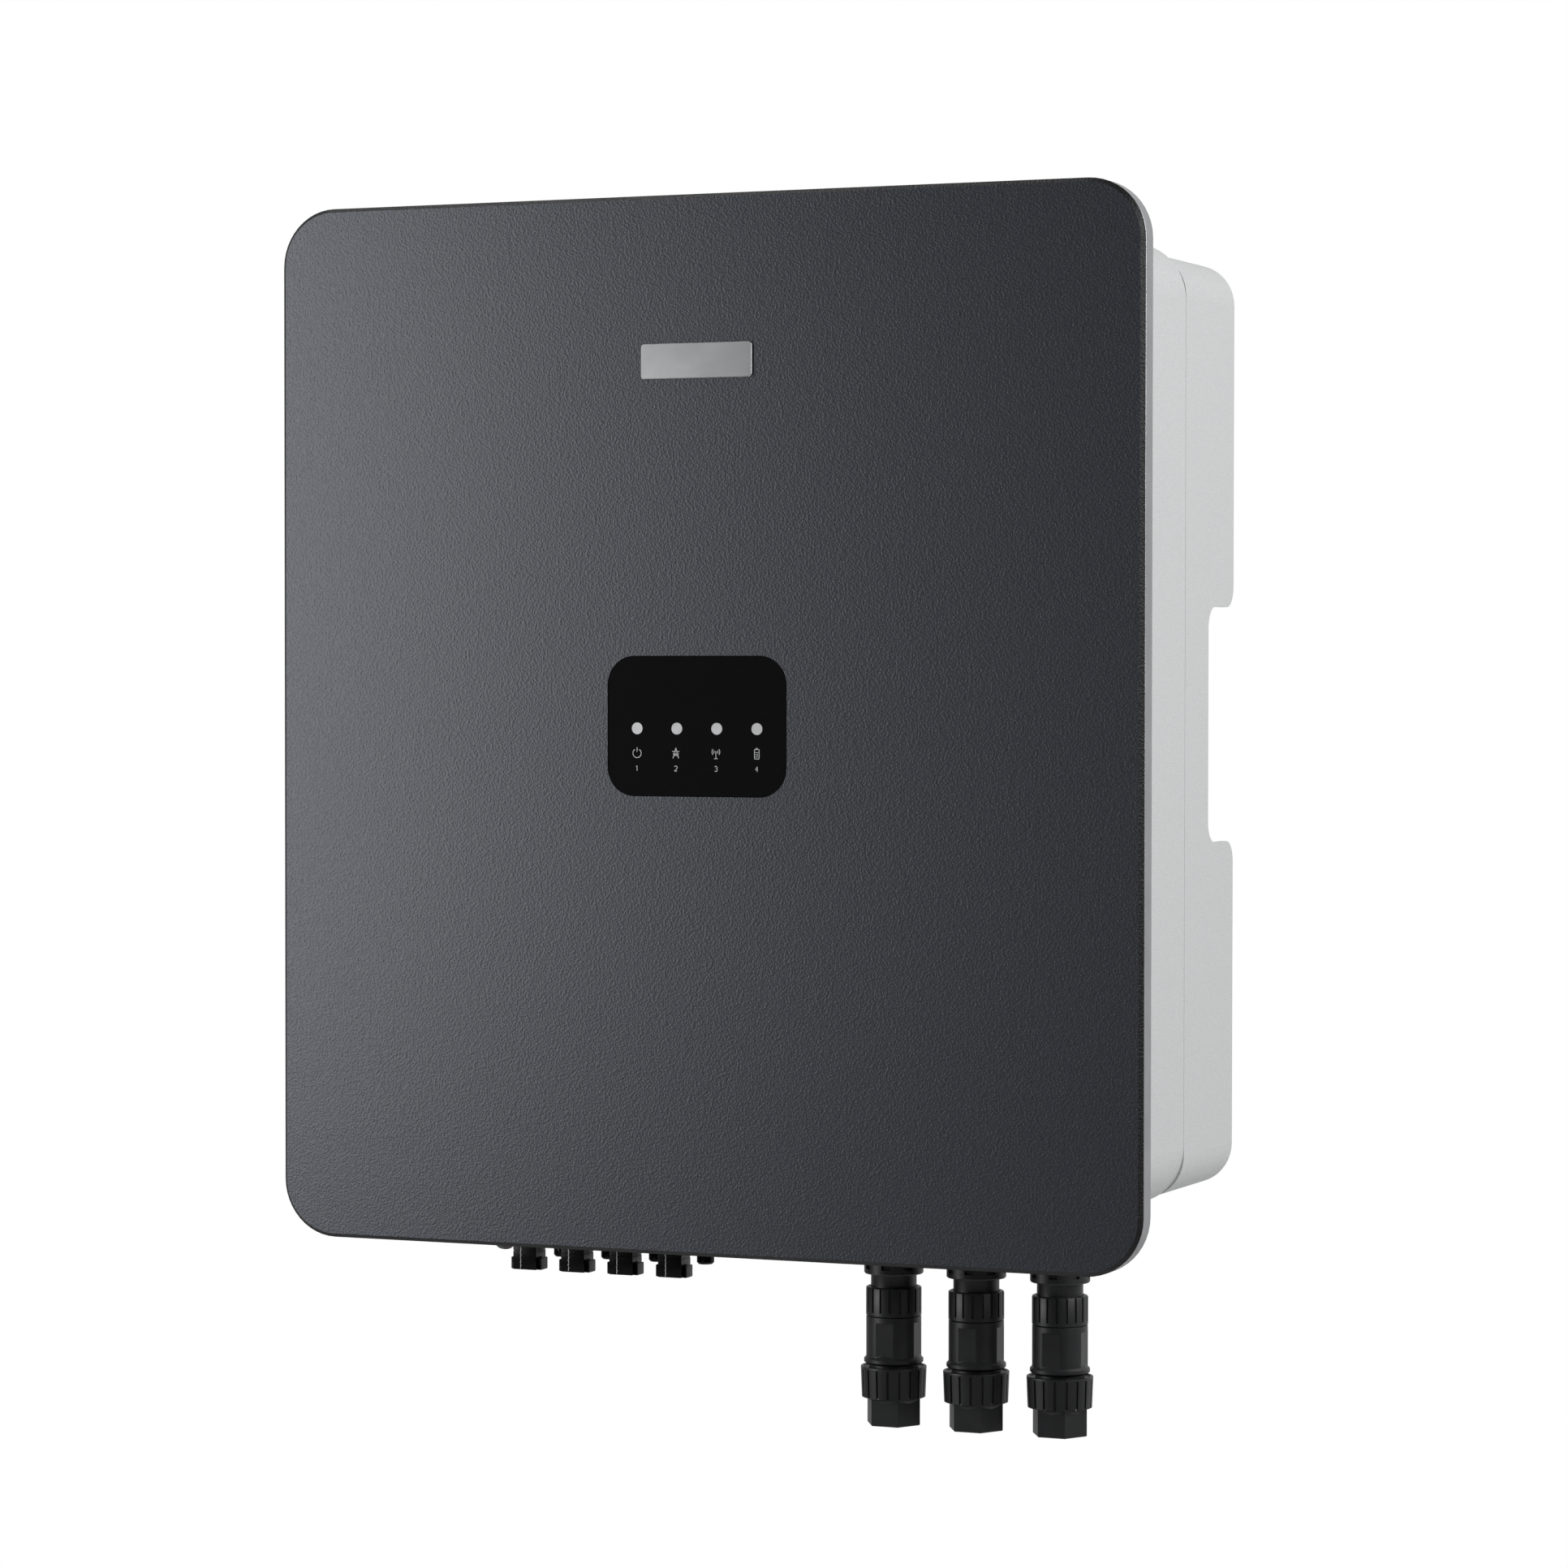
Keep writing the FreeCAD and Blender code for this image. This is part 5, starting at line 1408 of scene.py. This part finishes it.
@dataclass(frozen=True)
class Lamp:
    """A soft rectangular lamp, placed and aimed in metres from the middle of the front panel."""

    name: str
    offset: Point
    size: tuple[float, float]
    power: float
    aim: Point = (0.0, 0.0, 0.0)


@dataclass
class Studio:
    """The camera, the lights and the floor."""

    azimuth: float = math.radians(23.158)
    elevation: float = math.radians(1.342)
    distance: float = 2.42007
    roll: float = math.radians(0.0494)
    lens: float = 109.82
    aim_right: float = 0.0486
    aim_down: float = 0.0289
    sky_side: Point = (0.1, 0.95, 0.3)
    sky_start: float = 0.42
    sky_low: float = 0.03
    sky_high: float = 0.80
    floor_drop: float = 0.75
    floor_radius: float = 2.4
    floor_cloud: float = 0.2
    floor_dark: Colour = (0.80, 0.80, 0.80)
    floor_light: Colour = (0.83, 0.83, 0.83)
    farthest: float = 50.0
    lamps: tuple[Lamp, ...] = (
        Lamp("left_key", (-0.53, -0.42, 0.07), (0.22, 0.86), 6.8, (-0.3, 0.0, 0.04)),
        Lamp("right_side", (1.7, 0.1, 0.8), (1.0, 1.0), 19),
        Lamp("top_strip", (-0.65, 0.0, 1.5), (1.4, 0.2), 5),
        Lamp("edge_strip", (1.5, -0.6, 0.45), (0.15, 1.0), 6))

    def build(self) -> None:
        """Set up everything that isn't the inverter."""
        low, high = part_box("front_panel")
        middle = (low + high) / 2
        aim = Vector((middle.x + self.aim_right, low.y, middle.z - self.aim_down))
        self.camera(aim)
        self.lights(middle)
        self.floor(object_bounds()[0][2] - self.floor_drop, middle)

    def camera(self, aim: Vector) -> None:
        """Place the camera.

        Args:
            aim: The point that it looks at.
        """
        data = bpy.data.cameras.new("camera")
        data.lens = self.lens
        data.clip_end = self.farthest
        camera = bpy.data.objects.new("camera", data)
        bpy.context.scene.collection.objects.link(camera)
        flat = math.cos(self.elevation) * self.distance
        back = Vector((math.sin(self.azimuth) * flat, -math.cos(self.azimuth) * flat,
                       math.sin(self.elevation) * self.distance))
        camera.location = aim + back
        turn = (-back).to_track_quat("-Z", "Y").to_matrix().to_4x4()
        turn.translation = camera.location
        camera.matrix_world = turn
        camera.rotation_euler.rotate_axis("Z", self.roll)
        bpy.context.scene.camera = camera

    def lights(self, middle: Vector) -> None:
        """Light the inverter softly, brightest on the left of its front.

        Args:
            middle: The middle of the front panel.
        """
        bpy.context.scene.view_settings.view_transform = "Standard"
        self.surroundings()
        for lamp in self.lamps:
            data = bpy.data.lights.new(lamp.name, "AREA")
            data.shape = "RECTANGLE"
            data.size, data.size_y = lamp.size
            data.energy = lamp.power
            thing = bpy.data.objects.new(lamp.name, data)
            thing.location = middle + Vector(lamp.offset)
            thing.visible_camera = False
            line = Vector(lamp.aim) - Vector(lamp.offset)
            thing.rotation_euler = line.to_track_quat("-Z", "Y").to_euler()
            bpy.context.scene.collection.objects.link(thing)

    def surroundings(self) -> None:
        """Show a plain white backdrop, but light the inverter with a dim graded sky."""
        world = bpy.data.worlds.new("studio")
        world.use_nodes = True
        tree = world.node_tree
        backdrop = tree.nodes["Background"]
        backdrop.inputs["Color"].default_value = (1.0, 1.0, 1.0, 1.0)
        sky = tree.nodes.new("ShaderNodeBackground")
        grade = tree.nodes.new("ShaderNodeValToRGB")
        lean = tree.nodes.new("ShaderNodeVectorMath")
        lean.operation = "DOT_PRODUCT"
        lean.inputs[1].default_value = self.sky_side
        remap = tree.nodes.new("ShaderNodeMapRange")
        remap.inputs["From Min"].default_value = -1.0
        place = tree.nodes.new("ShaderNodeTexCoord")
        tree.links.new(place.outputs["Generated"], lean.inputs[0])
        tree.links.new(lean.outputs["Value"], remap.inputs["Value"])
        tree.links.new(remap.outputs["Result"], grade.inputs["Fac"])
        grade.color_ramp.elements[0].position = self.sky_start
        grade.color_ramp.elements[0].color = (self.sky_low,) * 3 + (1.0,)
        grade.color_ramp.elements[1].color = (self.sky_high,) * 3 + (1.0,)
        tree.links.new(grade.outputs["Color"], sky.inputs["Color"])
        mix = tree.nodes.new("ShaderNodeMixShader")
        rays = tree.nodes.new("ShaderNodeLightPath")
        tree.links.new(rays.outputs["Is Camera Ray"], mix.inputs["Fac"])
        tree.links.new(sky.outputs["Background"], mix.inputs[1])
        tree.links.new(backdrop.outputs["Background"], mix.inputs[2])
        tree.links.new(mix.outputs["Shader"], tree.nodes["World Output"].inputs["Surface"])
        bpy.context.scene.world = world

    def floor(self, height: float, middle: Vector) -> None:
        """Lay a round pale floor.

        Args:
            height: The floor's height.
            middle: The middle of the front panel.
        """
        mesh = bpy.data.meshes.new("floor")
        work = bmesh.new()
        bmesh.ops.create_circle(work, cap_ends=True, segments=96, radius=self.floor_radius)
        work.to_mesh(mesh)
        work.free()
        floor = bpy.data.objects.new("floor", mesh)
        floor.location = (middle.x, middle.y, height)
        bpy.context.scene.collection.objects.link(floor)
        nodes = Nodes("pale_floor")
        nodes.link(nodes.ramp(nodes.noise(self.floor_cloud), self.floor_dark, self.floor_light),
                   nodes.shader.inputs["Base Color"])
        nodes.set(Roughness=0.7)
        mesh.materials.append(nodes.material)
        floor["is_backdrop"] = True


def main() -> None:
    """Load the frame, dress it and set up the studio."""
    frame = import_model()
    shop = Paintshop(frame["record"])
    shop.dress_frame(frame["nodes"])
    Casing(shop).build(frame["nodes"])
    for number in (1, 2, 3):
        CableConnector(shop, number).build()
    for number in (1, 2, 3, 4):
        StringConnector(shop, number).build()
    SwitchKnob(shop).build()
    StatusWindow(shop).build()
    Studio().build()


if __name__ == "__main__":
    main()
